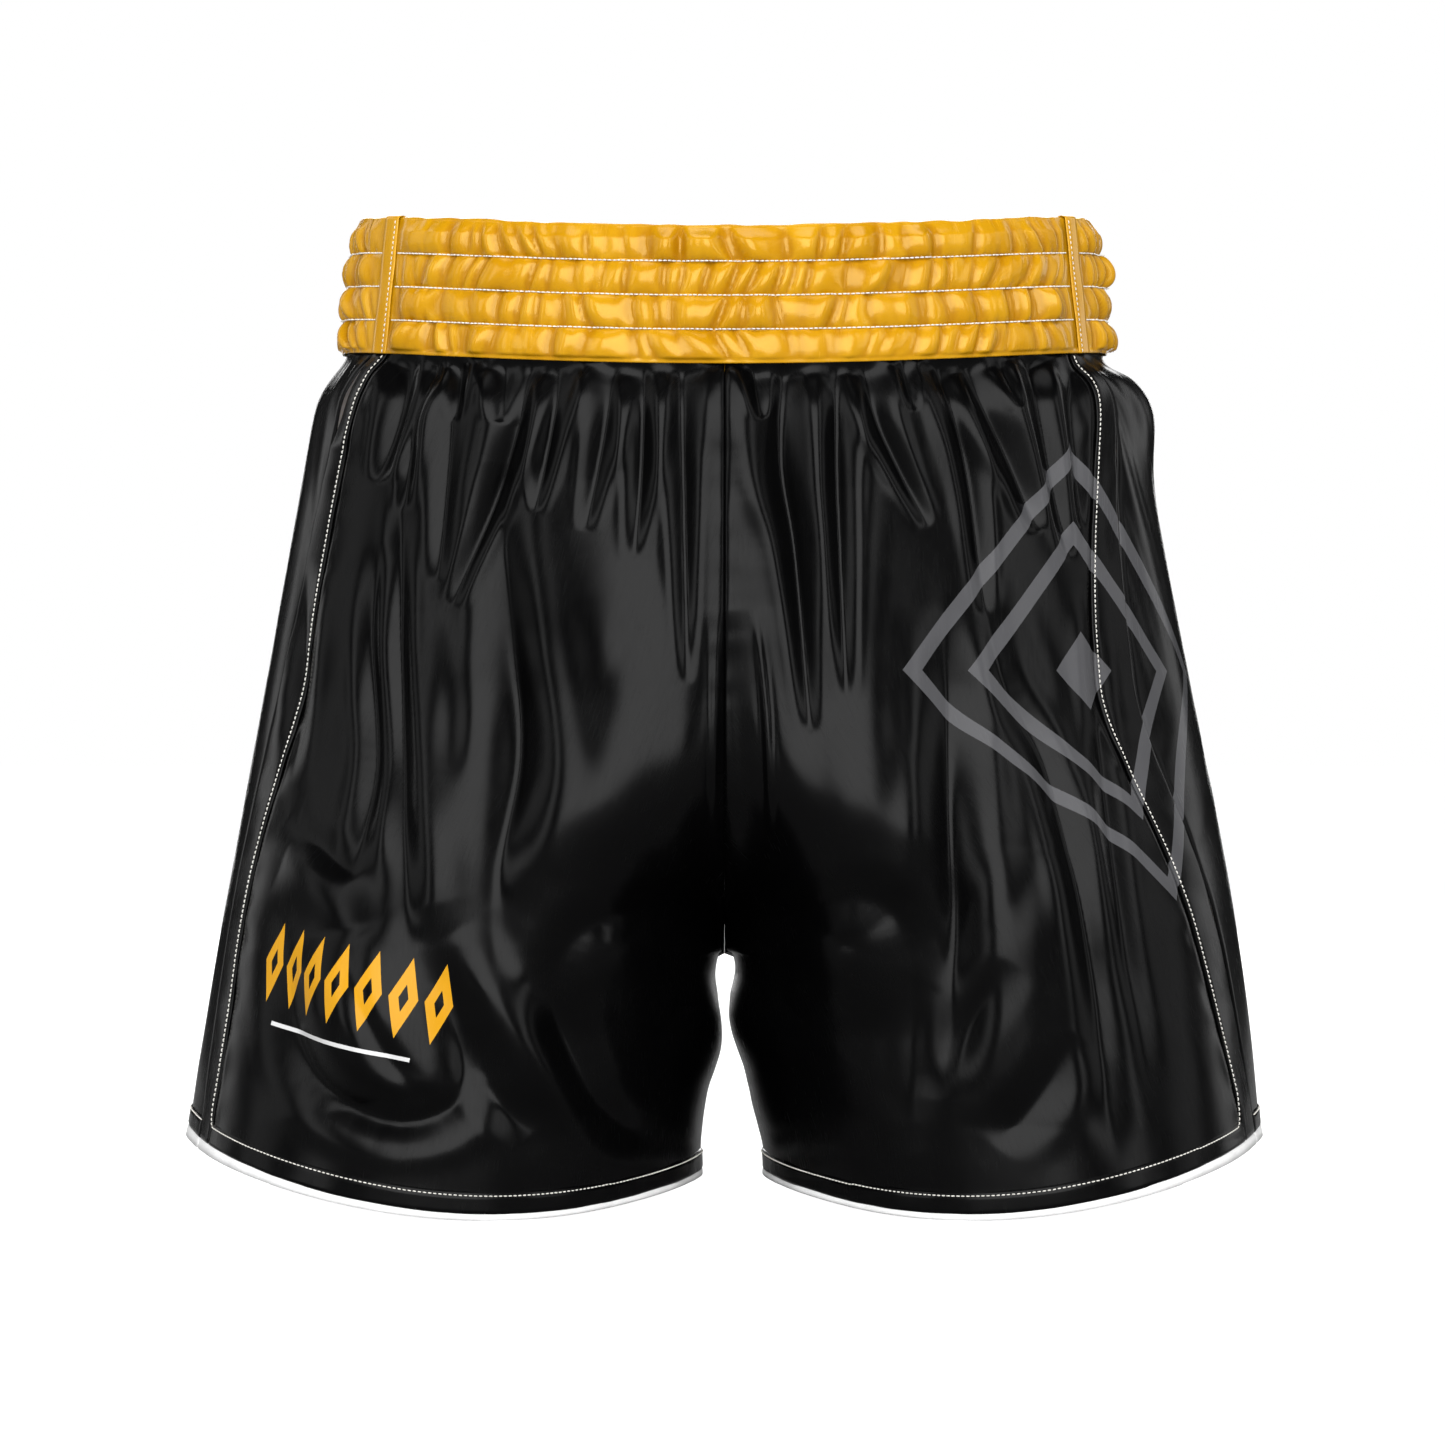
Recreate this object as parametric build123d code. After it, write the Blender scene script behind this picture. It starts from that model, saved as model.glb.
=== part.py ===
"""Boxing shorts: satin panels, trims and hems under a four-channel elasticated waistband.

Millimetres. +Z is up, the front faces -Y, and the wearer's right leg is on -X. The shorts stand on
their hems at Z = 0, with the origin under the middle of the garment.

Every piece lies on one surface, the garment's middle skin. A place on it is given by a turn (the angle
round the body from the widest point of the side, towards the front or the back) and a height.
"""

import os
from math import cos, exp, pi, radians, sin

from build123d import *

# Garment: heights
WAIST_SEAM_Z = 378.0  # waistband's lower edge at the sides
FRONT_WAIST_DIP = 10.0  # how much lower the waist is at centre front
BACK_WAIST_DIP = 3.0
BAND_HEIGHT = 59.0
FORK_TOP_Z = 232.0  # where the centre seams start to curve under
CROTCH_Z = 110.0
CROTCH_ROUNDING = 1.4  # 1 gives a sharp corner where the seams meet
SIDE_HEM_Z = 33.8  # black hem at the sides, at its lowest and at the inseam
LOW_HEM_Z = 2.2
INSEAM_HEM_Z = 13.5

# Garment: half widths and half depths of the middle skin
WAIST_HALF_WIDTH = 169.0
WAIST_HALF_DEPTH = 118.0
BAND_TAPER = 0.115  # the band narrows upwards, per side
HIP_HALF_WIDTH = {"right": 178.5, "left": 181.5}
HEM_HALF_WIDTH = 239.2
FLANK_BULGE = {"right": 1.0, "left": 4.0}
HIP_HALF_DEPTH = 126.0
HEM_HALF_DEPTH = 127.0
FRONT_BULGE = 5.0
SEAT_BULGE = 5.0
GATHER_FALL = 14.0  # length over which the gathers open out below the waistband

# Legs
CENTRE_GAP = 0.12  # half the clearance between panels along a seam
CROTCH_GAP = 1.5
ARCH_REACH = 0.9  # how far round the leg the arch's shape is felt, as a turn
# From the middle plane to each leg, by height: an arch under the crotch, the legs close together, then
# spreading to the hem
INSEAM_GAPS = {
    "right": (
        (113, 1.547), (109, 2.9), (104, 3.8), (98, 3.8), (91, 3.0), (83, 1.8), (75, 1.3),
        (68, 1.9), (60, 4.0), (52, 6.6), (43, 8.5), (34, 9.9), (24, 10.5), (13.5, 10.5),
    ),
    "left": (
        (113, 1.547), (109, 4.0), (104, 4.7), (98, 3.8), (91, 2.5), (83, 2.0), (75, 3.6),
        (68, 6.0), (60, 8.7), (52, 10.4), (43, 12.3), (34, 14.9), (24, 17.0), (13.5, 17.7),
    ),
}
LOWEST_TURN = radians(105)  # where round the leg the hem is lowest

# Seams and trims
# The side seam's turn at the waist, at the hem, and what it wanders by half way down
SEAM_TURNS = {
    "right": (radians(24), radians(24), radians(-7)),
    "left": (radians(21), radians(18), radians(11)),
}
# The side trim's width at the waist, at the hem, and what it gains half way down
TRIM_WIDTHS = {"right": (11.0, 15.0, 7.0), "left": (11.0, 21.0, 8.0)}
HEM_BAND_HEIGHT = 10.0
FACING_HEIGHT = 14.0
FACING_SHOW = 1.95  # white edge below the black hem
FACING_SHOW_SIDE = 2.2
TUCK = 1.0  # how far a panel runs up inside the waistband, short of the elastic
SEAM_CLEARANCE = 0.3

# Thicknesses, as offsets outwards from the middle skin
PANEL = (-0.8, 0.8)
FACING = (-2.0, -1.1)
THREAD_ON_PANEL = (1.05, 1.5)
CASING = (1.2, 2.2)
CASING_FACING = (-2.2, -1.2)
ELASTIC = (-0.6, 0.6)
TAPE = (2.5, 3.3)
THREAD_ON_BAND = (2.35, 2.85)
CHANNEL_BULGE = 2.0
CHANNEL_FADE = 9.0  # the channels flatten towards the tapes

# Waistband
CHANNELS = 4
ELASTIC_HEIGHT = 12.0
TAPE_TURN = {"right": radians(27), "left": radians(21.5)}
TAPE_WIDTH = 10.5
THREAD_WIDTH = 0.8
ELASTIC_JOIN = 0.5  # clearance between an elastic's two ends

SIDES = {"right": -1, "left": 1}
FRONT = -1
BACK = 1
CHANNEL_HEIGHT = BAND_HEIGHT / CHANNELS
STEP = 0.05  # for slopes found by small differences
PANEL_GRID = (26, 84)  # curves through points: columns and rows of a panel
TRIM_GRID = (4, 48)
CHANNEL_GRID = (72, 32)
ELASTIC_COLUMNS = 80
TAPE_COLUMNS = 6
THREAD_COLUMNS = 2
TOP_CROWDING = 1.5  # rows of points lie closer together near the gathers


def seam_height(turn, face):
    """The waistband's lower edge dips towards the centre. A negative turn is on the other face."""
    if turn < 0:
        face = -face
    dip = FRONT_WAIST_DIP if face == FRONT else BACK_WAIST_DIP
    return WAIST_SEAM_Z - dip * sin(turn) ** 2


def flare(start, end, shoulder, below):
    """A half size that starts at the waist seam, opens out over the gathers and runs on to the hem."""
    share = min(below / (WAIST_SEAM_Z - SIDE_HEM_Z), 1.1)
    return start + (end - start) * share - shoulder * exp(-((below / GATHER_FALL) ** 2))


def half_width(below, side):
    if below < 0:
        return WAIST_HALF_WIDTH + BAND_TAPER * below
    share = min(below / (WAIST_SEAM_Z - SIDE_HEM_Z), 1.0)
    hips = HIP_HALF_WIDTH[side]
    bulge = FLANK_BULGE[side] * sin(pi * share**2)
    return flare(hips, HEM_HALF_WIDTH, hips - WAIST_HALF_WIDTH, below) + bulge


def half_depth(below, face):
    if below < 0:
        return WAIST_HALF_DEPTH + BAND_TAPER * below
    share = min(below / (WAIST_SEAM_Z - SIDE_HEM_Z), 1.0)
    bulge = FRONT_BULGE if face == FRONT else SEAT_BULGE
    shoulder = HIP_HALF_DEPTH - WAIST_HALF_DEPTH
    return flare(HIP_HALF_DEPTH, HEM_HALF_DEPTH, shoulder, below) + bulge * sin(pi * share) ** 2


def fork_share(z):
    """0 above the fork, 1 from the crotch down."""
    return min(max((FORK_TOP_Z - z) / (FORK_TOP_Z - CROTCH_Z), 0.0), 1.0)


def sweep(z):
    """The turn at a section's inner end: a quarter of an oval at the hips, half of one at the leg."""
    return pi - pi / 2 * (1 - fork_share(z) ** 2) ** CROTCH_ROUNDING


def through(rows, z):
    """A smooth curve through rows of (height, value) with falling heights, level beyond its ends."""
    if z >= rows[0][0]:
        return rows[0][1]
    if z <= rows[-1][0]:
        return rows[-1][1]
    here = next(i for i in range(len(rows) - 1) if z >= rows[i + 1][0])
    slopes = []
    for i in (here, here + 1):
        if i in (0, len(rows) - 1):
            slopes.append(0.0)
        else:
            slopes.append((rows[i + 1][1] - rows[i - 1][1]) / (rows[i + 1][0] - rows[i - 1][0]))
    (z0, first), (z1, last) = rows[here], rows[here + 1]
    t = (z - z0) / (z1 - z0)
    rise = (last - first) * t * t * (3 - 2 * t)
    return first + rise + (z1 - z0) * (slopes[0] * t * (1 - t) ** 2 - slopes[1] * t * t * (1 - t))


def even_gap(z, side):
    """How far the inner end of a section is from the middle plane, without the arch."""
    gap = CENTRE_GAP + CROTCH_GAP * fork_share(z) ** 2
    share = min(max((CROTCH_Z - z) / (CROTCH_Z - INSEAM_HEM_Z), 0.0), 1.0)
    return gap + (INSEAM_GAPS[side][-1][1] - gap) * share**2


def arch_shift(turn, z, side):
    """What the arch adds to the gap: all of it at the inner end, fading out round the leg."""
    if z >= INSEAM_GAPS[side][0][0]:
        return 0.0
    t = min(max((turn - sweep(z)) / ARCH_REACH + 1, 0.0), 1.0)
    return (through(INSEAM_GAPS[side], z) - even_gap(z, side)) * t * t * (3 - 2 * t)


def skin_point(side, face, turn, z):
    """A point of the middle skin. A negative turn reaches round the side onto the other face."""
    if turn < 0:
        face = -face
        turn = -turn
    below = seam_height(turn, face) - z
    width = half_width(below, side)
    reach = (width - even_gap(z, side)) / (1 - cos(sweep(z)))
    x = width - reach * (1 - cos(turn)) + arch_shift(turn, z, side)
    y = face * half_depth(below, face) * sin(turn)
    return Vector(SIDES[side] * x, y, z)


def offset_point(side, face, turn, z, offset):
    """A point at a distance outwards from the middle skin."""
    along = skin_point(side, face, turn + STEP / 100, z) - skin_point(side, face, turn - STEP / 100, z)
    up = skin_point(side, face, turn, z + STEP) - skin_point(side, face, turn, z - STEP)
    outwards = along.cross(up).normalized() * (face * SIDES[side])
    return skin_point(side, face, turn, z) + outwards * offset


def turn_per_mm(side, face, turn, z):
    """How much turn takes up one millimetre along the section."""
    ahead = skin_point(side, face, turn + STEP, z) - skin_point(side, face, turn, z)
    return STEP / ahead.length


def hem_height(turn):
    """The black hem is lowest near the middle of the leg and rises to the side and the inseam."""
    turn = abs(turn)
    if turn < LOWEST_TURN:
        return LOW_HEM_Z + (SIDE_HEM_Z - LOW_HEM_Z) * cos(turn / LOWEST_TURN * pi / 2) ** 2
    rise = sin((turn - LOWEST_TURN) / (pi - LOWEST_TURN) * pi / 2)
    return LOW_HEM_Z + (INSEAM_HEM_Z - LOW_HEM_Z) * rise**2


def facing_height(turn):
    """The white facing's lower edge, below the black hem by more at the side."""
    return hem_height(turn) - FACING_SHOW - FACING_SHOW_SIDE * cos(turn / 2) ** 4


def down_the_side(values, z):
    """A value along the side seam, from its waist and hem values and its swell."""
    at_waist, at_hem, swell = values
    share = min(max((WAIST_SEAM_Z - z) / (WAIST_SEAM_Z - SIDE_HEM_Z), 0.0), 1.0)
    return at_waist + (at_hem - at_waist) * share + swell * sin(pi * share)


def seam_turn(z, side):
    """The side seam lies a little forward of the widest point."""
    return down_the_side(SEAM_TURNS[side], z)


def trim_turn(z, side):
    """The turn that the side trim takes up at this height."""
    return down_the_side(TRIM_WIDTHS[side], z) * turn_per_mm(side, FRONT, seam_turn(z, side), z)


def surface(place, offset, columns, rows):
    """A smooth face through rows of points: one curve across each row, then a loft down the rows."""
    shares = [column / columns for column in range(columns + 1)]
    wires = []
    for row in range(rows + 1):
        points = [place(share, row / rows, offset) for share in shares]
        wires.append(Wire([Edge.make_spline(points, parameters=shares)]))
    return Shell.make_loft(wires).faces()[0]


def plate(place, offsets, columns, rows):
    """A closed solid between two offsets of a patch. Place(u, v, offset) gives the patch's points."""
    inner = surface(place, offsets[0], columns, rows)
    outer = surface(place, offsets[1], columns, rows)
    faces = [inner, outer]
    for edge in outer.edges():
        partner = min(inner.edges(), key=lambda other: (other @ 0.5 - edge @ 0.5).length)
        faces.append(Face.make_surface_from_curves(edge, partner))
    solid = Solid(Shell(faces))
    if solid.volume < 0:
        solid = Solid(Shell([-face for face in faces]))
    return solid


def mix(a, b, share):
    return a + (b - a) * share


def inner_end(z):
    """The turn where a panel stops, just short of the inseam."""
    return sweep(z) - SEAM_CLEARANCE / HEM_HALF_DEPTH


def panel_place(side, face, clear):
    """A body panel: from its side edge to the centre, from the waist down to the hem band."""

    def start(z):
        if face == BACK:
            return -seam_turn(z, side) + clear * turn_per_mm(side, FRONT, seam_turn(z, side), z)
        scale = turn_per_mm(side, FRONT, seam_turn(z, side), z)
        return seam_turn(z, side) + trim_turn(z, side) + clear * scale

    def place(u, v, offset):
        top_turn = mix(start(WAIST_SEAM_Z), pi / 2, u)
        low_turn = mix(start(SIDE_HEM_Z), pi, u)
        top = seam_height(top_turn, face) + TUCK
        low = hem_height(low_turn) + HEM_BAND_HEIGHT + clear
        z = mix(top, low, v**TOP_CROWDING)
        return offset_point(side, face, mix(start(z), inner_end(z), u), z, offset)

    return place


def body_panel(side, face):
    return plate(panel_place(side, face, SEAM_CLEARANCE), PANEL, *PANEL_GRID)


def side_trim(side):
    """The black band in front of the side seam, from the waist to the hem band."""
    clear = SEAM_CLEARANCE

    def place(u, v, offset):
        low_turn = seam_turn(SIDE_HEM_Z, side) + u * trim_turn(SIDE_HEM_Z, side)
        top_turn = seam_turn(WAIST_SEAM_Z, side) + u * trim_turn(WAIST_SEAM_Z, side)
        top = seam_height(top_turn, FRONT) + TUCK
        z = mix(top, hem_height(low_turn) + HEM_BAND_HEIGHT + clear, v**TOP_CROWDING)
        edge = clear * turn_per_mm(side, FRONT, seam_turn(z, side), z)
        turn = seam_turn(z, side) + mix(edge, trim_turn(z, side) - edge, u)
        return offset_point(side, FRONT, turn, z, offset)

    return plate(place, PANEL, *TRIM_GRID)


def leg_strip(side, face, low, high, offsets, columns=28, rows=3):
    """A strip round the front or back of a leg opening, between two heights over the turn."""
    edge = SEAM_CLEARANCE / HEM_HALF_DEPTH
    seam = seam_turn(SIDE_HEM_Z, side)
    first = seam + edge if face == FRONT else -seam + edge

    def place(u, v, offset):
        turn = mix(first, pi - edge, u)
        return offset_point(side, face, turn, mix(low(turn), high(turn), v), offset)

    return plate(place, offsets, columns, rows)


def hem_band(side, face):
    return leg_strip(side, face, hem_height, lambda turn: hem_height(turn) + HEM_BAND_HEIGHT, PANEL)


def hem_facing(side, face):
    return leg_strip(side, face, facing_height, lambda turn: hem_height(turn) + FACING_HEIGHT, FACING)


def hem_thread(side, face, height):
    """One row of topstitching round the leg opening."""

    def low(turn):
        return hem_height(turn) + height

    def high(turn):
        return low(turn) + THREAD_WIDTH

    return leg_strip(side, face, low, high, THREAD_ON_PANEL, rows=2)


def trim_thread(side):
    """The row of topstitching down the front edge of the side trim."""

    def place(u, v, offset):
        z = mix(WAIST_SEAM_Z - 3, SIDE_HEM_Z + HEM_BAND_HEIGHT + 2, v**TOP_CROWDING)
        scale = turn_per_mm(side, FRONT, seam_turn(z, side), z)
        turn = seam_turn(z, side) + trim_turn(z, side) - (2.0 - u * THREAD_WIDTH) * scale
        return offset_point(side, FRONT, turn, z, offset)

    return plate(place, THREAD_ON_PANEL, THREAD_COLUMNS, TRIM_GRID[1])


def band_point(angle, height, offset):
    """A point of the waistband. The angle runs from the wearer's left towards the back."""
    face = BACK if sin(angle) > 0 else FRONT
    seam = seam_height(pi / 2, face)
    z = mix(WAIST_SEAM_Z, seam, sin(angle) ** 2) + height
    width = WAIST_HALF_WIDTH - BAND_TAPER * height
    depth = WAIST_HALF_DEPTH - BAND_TAPER * height
    outwards = Vector(depth * cos(angle), width * sin(angle), 0).normalized()
    return Vector(width * cos(angle), depth * sin(angle), z) + outwards * offset


def band_span(face):
    """First and last angle of the front or back of the waistband, from tape to tape."""
    edge = SEAM_CLEARANCE / WAIST_HALF_DEPTH
    if face == FRONT:
        return -pi + TAPE_TURN["right"] + edge, -TAPE_TURN["left"] - edge
    return -TAPE_TURN["left"] + edge, pi + TAPE_TURN["right"] - edge


def channel_bulge(angle, height, span):
    """How far a channel stands out between its stitch rows, flattening towards the tapes."""
    arc = min(angle - span[0], span[1] - angle) * (WAIST_HALF_DEPTH + 10)
    fade = 1 - exp(-((max(arc - TAPE_WIDTH / 2, 0) / CHANNEL_FADE) ** 2))
    return CHANNEL_BULGE * fade * sin(pi * height / CHANNEL_HEIGHT) ** 2


def casing(face, offsets, bulge):
    """The outer or inner layer of the waistband's casing."""
    span = band_span(face)

    def place(u, v, offset):
        angle = mix(span[0], span[1], u)
        height = BAND_HEIGHT * v
        out = offset + bulge * channel_bulge(angle, height, span)
        return band_point(angle, height, out)

    return plate(place, offsets, CHANNEL_GRID[0], CHANNEL_GRID[1] if bulge else 4)


def ring_strip(first, last, low, high, offsets, columns=64):
    def place(u, v, offset):
        return band_point(mix(first, last, u), mix(low, high, v), offset)

    return plate(place, offsets, columns, 3)


def elastic(number):
    """One strip of elastic round the whole waist, its ends meeting at centre back."""
    low = BAND_HEIGHT - number * CHANNEL_HEIGHT + (CHANNEL_HEIGHT - ELASTIC_HEIGHT) / 2
    join = ELASTIC_JOIN / WAIST_HALF_WIDTH
    first, last = pi / 2 + join - 2 * pi, pi / 2 - join
    return ring_strip(first, last, low, low + ELASTIC_HEIGHT, ELASTIC, ELASTIC_COLUMNS)


def waist_stitch_row(number):
    """The row under channel number: one run across the front and one across the back."""
    low = BAND_HEIGHT - number * CHANNEL_HEIGHT - THREAD_WIDTH / 2
    edge = (TAPE_WIDTH / 2 + 0.3) / (WAIST_HALF_DEPTH + 10)
    runs = []
    for face in (FRONT, BACK):
        first, last = band_span(face)
        runs.append(ring_strip(first + edge, last - edge, low, low + THREAD_WIDTH, THREAD_ON_BAND))
    return runs


def side_tape(side):
    """The smooth tape over the waistband's side seam."""
    half = TAPE_WIDTH / 2 / (WAIST_HALF_DEPTH + 10)
    middle = -TAPE_TURN[side] if side == "left" else -pi + TAPE_TURN[side]
    return ring_strip(middle - half, middle + half, 0, BAND_HEIGHT, TAPE, TAPE_COLUMNS)


def leg_parts(side):
    """The pieces that each leg has one of, by name."""
    parts = {}
    for face, word in ((FRONT, "front"), (BACK, "back")):
        parts[f"{word}_panel_{side}"] = [body_panel(side, face)]
        parts[f"{word}_hem_band_{side}"] = [hem_band(side, face)]
        parts[f"{word}_hem_facing_{side}"] = [hem_facing(side, face)]
    parts[f"side_trim_{side}"] = [side_trim(side)]
    parts[f"side_tape_{side}"] = [side_tape(side)]
    front_row = hem_thread(side, FRONT, HEM_BAND_HEIGHT - 2)
    parts[f"front_topstitch_{side}"] = [trim_thread(side), front_row]
    parts[f"back_hem_stitch_{side}"] = [hem_thread(side, BACK, HEM_BAND_HEIGHT - 2)]
    return parts


def waistband_parts():
    parts = {}
    for face, word in ((FRONT, "front"), (BACK, "back")):
        parts[f"waistband_{word}"] = [casing(face, CASING, 1)]
        parts[f"waistband_facing_{word}"] = [casing(face, CASING_FACING, 0)]
    for number in range(1, CHANNELS + 1):
        parts[f"elastic_{number}"] = [elastic(number)]
    for number in range(1, CHANNELS):
        parts[f"waist_stitch_row_{number}"] = waist_stitch_row(number)
    return parts


def main():
    os.makedirs("parts", exist_ok=True)
    nodes = waistband_parts()
    for side in SIDES:
        nodes.update(leg_parts(side))
    for name, solids in nodes.items():
        shape = solids[0] if len(solids) == 1 else Compound(children=solids)
        export_step(shape, f"parts/{name}.step")


main()
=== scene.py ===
"""Boxing shorts, filled out as if worn: black satin, a ruched gold waistband, white topstitching."""

import math

import bpy
import numpy as np
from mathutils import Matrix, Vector


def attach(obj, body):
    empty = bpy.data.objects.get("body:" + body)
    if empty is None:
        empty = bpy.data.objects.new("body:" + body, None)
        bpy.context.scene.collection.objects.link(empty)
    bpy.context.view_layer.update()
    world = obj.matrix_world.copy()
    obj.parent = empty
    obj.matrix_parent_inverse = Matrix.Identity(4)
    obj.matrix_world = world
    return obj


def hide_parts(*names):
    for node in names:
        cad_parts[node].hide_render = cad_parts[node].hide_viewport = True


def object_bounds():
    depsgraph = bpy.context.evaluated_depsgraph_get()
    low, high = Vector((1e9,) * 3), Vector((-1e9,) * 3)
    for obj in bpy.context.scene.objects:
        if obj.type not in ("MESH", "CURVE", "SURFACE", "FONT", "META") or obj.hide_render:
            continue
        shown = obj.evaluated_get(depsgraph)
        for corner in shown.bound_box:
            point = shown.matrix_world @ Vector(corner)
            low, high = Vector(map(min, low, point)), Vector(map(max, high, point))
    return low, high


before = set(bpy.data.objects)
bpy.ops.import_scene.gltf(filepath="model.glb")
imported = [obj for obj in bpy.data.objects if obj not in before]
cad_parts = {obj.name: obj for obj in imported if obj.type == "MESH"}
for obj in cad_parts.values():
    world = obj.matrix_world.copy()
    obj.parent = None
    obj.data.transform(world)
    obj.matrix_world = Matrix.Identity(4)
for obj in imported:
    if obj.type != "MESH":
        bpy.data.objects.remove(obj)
CAD_LOW, CAD_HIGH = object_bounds()

# Everything below is worked out in millimetres and turned into metres as each mesh is made.
MM = 0.001

# The garment's middle skin, as in the CAD model
BAND_HEIGHT = 59.0
WAIST_SEAM_Z = CAD_HIGH[2] / MM - BAND_HEIGHT
FRONT_WAIST_DIP = 10.0
BACK_WAIST_DIP = 3.0
FORK_TOP_Z = 232.0
CROTCH_Z = 110.0
CROTCH_ROUNDING = 1.4
SIDE_HEM_Z = 33.8
LOW_HEM_Z = 2.2
INSEAM_HEM_Z = 13.5
WAIST_HALF_WIDTH = 169.0
WAIST_HALF_DEPTH = 118.0
BAND_TAPER = 0.115
HIP_HALF_WIDTH = {"right": 178.5, "left": 181.5}
SKIN_TO_SIDE = 0.76  # from the middle skin to the outermost point of a hem
HEM_HALF_WIDTH = CAD_HIGH[0] / MM - SKIN_TO_SIDE
FLANK_BULGE = {"right": 1.0, "left": 4.0}
HIP_HALF_DEPTH = 126.0
HEM_HALF_DEPTH = 127.0
FRONT_BULGE = 5.0
SEAT_BULGE = 5.0
GATHER_FALL = 14.0
CENTRE_GAP = 0.02
CROTCH_GAP = 0.1
ARCH_REACH = 0.9
INSEAM_GAPS = {
    "right": (
        (112, 0.117), (111, 1.8), (109, 2.9), (104, 3.8), (98, 3.8), (91, 3.0), (83, 1.8), (75, 1.3),
        (68, 1.9), (60, 4.0), (52, 6.6), (43, 8.5), (34, 9.9), (24, 10.5), (13.5, 10.5),
    ),
    "left": (
        (112, 0.117), (111, 2.6), (109, 4.0), (104, 4.7), (98, 3.8), (91, 2.5), (83, 2.0), (75, 3.6),
        (68, 6.0), (60, 8.7), (52, 10.4), (43, 12.3), (34, 14.9), (24, 17.0), (13.5, 17.7),
    ),
}
LOWEST_TURN = math.radians(105)
SEAM_TURNS = {"right": np.radians((24, 24, -7)), "left": np.radians((21, 18, 11))}
TRIM_WIDTHS = {"right": (11.0, 15.0, 7.0), "left": (11.0, 21.0, 8.0)}
HEM_BAND_HEIGHT = 10.0
FACING_SHOW = 1.95
FACING_SHOW_SIDE = 2.2
TAPE_TURN = {"right": math.radians(27), "left": math.radians(21.5)}
TAPE_WIDTH = 10.5
CHANNELS = 4
CHANNEL_HEIGHT = BAND_HEIGHT / CHANNELS

SIDES = {"right": -1, "left": 1}
FRONT, BACK = -1, 1
WORDS = {FRONT: "front", BACK: "back"}
DETAIL = 1.0  # share of the mesh density


# ---------------------------------------------------------------- garment formula
def seam_height(turn, face):
    dip = np.where(turn * face < 0, FRONT_WAIST_DIP, BACK_WAIST_DIP)
    return WAIST_SEAM_Z - dip * np.sin(turn) ** 2


def drop_share(below):
    return np.clip(below / (WAIST_SEAM_Z - SIDE_HEM_Z), 0, 1)


def flare(start, end, shoulder, below):
    share = np.minimum(below / (WAIST_SEAM_Z - SIDE_HEM_Z), 1.1)
    return start + (end - start) * share - shoulder * np.exp(-((below / GATHER_FALL) ** 2))


def half_width(below, side):
    hips = HIP_HALF_WIDTH[side]
    width = flare(hips, HEM_HALF_WIDTH, hips - WAIST_HALF_WIDTH, below)
    width = width + FLANK_BULGE[side] * np.sin(np.pi * drop_share(below) ** 2)
    return np.where(below < 0, WAIST_HALF_WIDTH + BAND_TAPER * below, width)


def half_depth(below, front):
    hips = flare(HIP_HALF_DEPTH, HEM_HALF_DEPTH, HIP_HALF_DEPTH - WAIST_HALF_DEPTH, below)
    bulge = np.where(front, FRONT_BULGE, SEAT_BULGE)
    hips = hips + bulge * np.sin(np.pi * drop_share(below)) ** 2
    return np.where(below < 0, WAIST_HALF_DEPTH + BAND_TAPER * below, hips)


def fork_share(z):
    return np.clip((FORK_TOP_Z - z) / (FORK_TOP_Z - CROTCH_Z), 0, 1)


def sweep(z):
    return np.pi - np.pi / 2 * (1 - fork_share(z) ** 2) ** CROTCH_ROUNDING


def through(rows, z):
    """A smooth curve through rows of (height, value), level beyond its ends."""
    heights, values = np.array(rows[::-1], float).T
    slopes = np.zeros(len(rows))
    slopes[1:-1] = (values[2:] - values[:-2]) / (heights[2:] - heights[:-2])
    z = np.clip(z, heights[0], heights[-1])
    i = np.clip(np.searchsorted(heights, z) - 1, 0, len(rows) - 2)
    span = heights[i + 1] - heights[i]
    t = (z - heights[i]) / span
    rise = (values[i + 1] - values[i]) * t * t * (3 - 2 * t)
    return values[i] + rise + span * (slopes[i] * t * (1 - t) ** 2 - slopes[i + 1] * t * t * (1 - t))


def even_gap(z, side):
    """How far the inner end of a section is from the middle plane, without the arch."""
    gap = CENTRE_GAP + CROTCH_GAP * fork_share(z) ** 2
    share = np.clip((CROTCH_Z - z) / (CROTCH_Z - INSEAM_HEM_Z), 0, 1)
    return gap + (INSEAM_GAPS[side][-1][1] - gap) * share**2


def arch_shift(turn, z, side):
    """What the arch adds to the gap: all of it at the inner end, fading out round the leg."""
    t = np.clip((turn - sweep(z)) / ARCH_REACH + 1, 0, 1)
    shift = (through(INSEAM_GAPS[side], z) - even_gap(z, side)) * t * t * (3 - 2 * t)
    return np.where(z < INSEAM_GAPS[side][0][0], shift, 0)


def skin(side, face, turn, z):
    """Points of the middle skin. A negative turn reaches round the side onto the other face."""
    front = turn * face < 0
    below = seam_height(turn, face) - z
    width = half_width(below, side)
    reach = (width - even_gap(z, side)) / (1 - np.cos(sweep(z)))
    x = width - reach * (1 - np.cos(turn)) + arch_shift(turn, z, side)
    y = face * half_depth(below, front) * np.sin(turn)
    return np.stack([SIDES[side] * x, y, z + 0 * x], axis=-1)


def unit(vectors):
    return vectors / np.maximum(np.linalg.norm(vectors, axis=-1, keepdims=True), 1e-9)


def outwards(side, face, turn, z):
    along = skin(side, face, turn + 5e-4, z) - skin(side, face, turn - 5e-4, z)
    up = skin(side, face, turn, z + 0.05) - skin(side, face, turn, z - 0.05)
    return unit(np.cross(along, up)) * (face * SIDES[side])


def turn_per_mm(side, turn, z):
    step = skin(side, FRONT, turn + 0.05, z) - skin(side, FRONT, turn, z)
    return 0.05 / np.linalg.norm(step, axis=-1)


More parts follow.
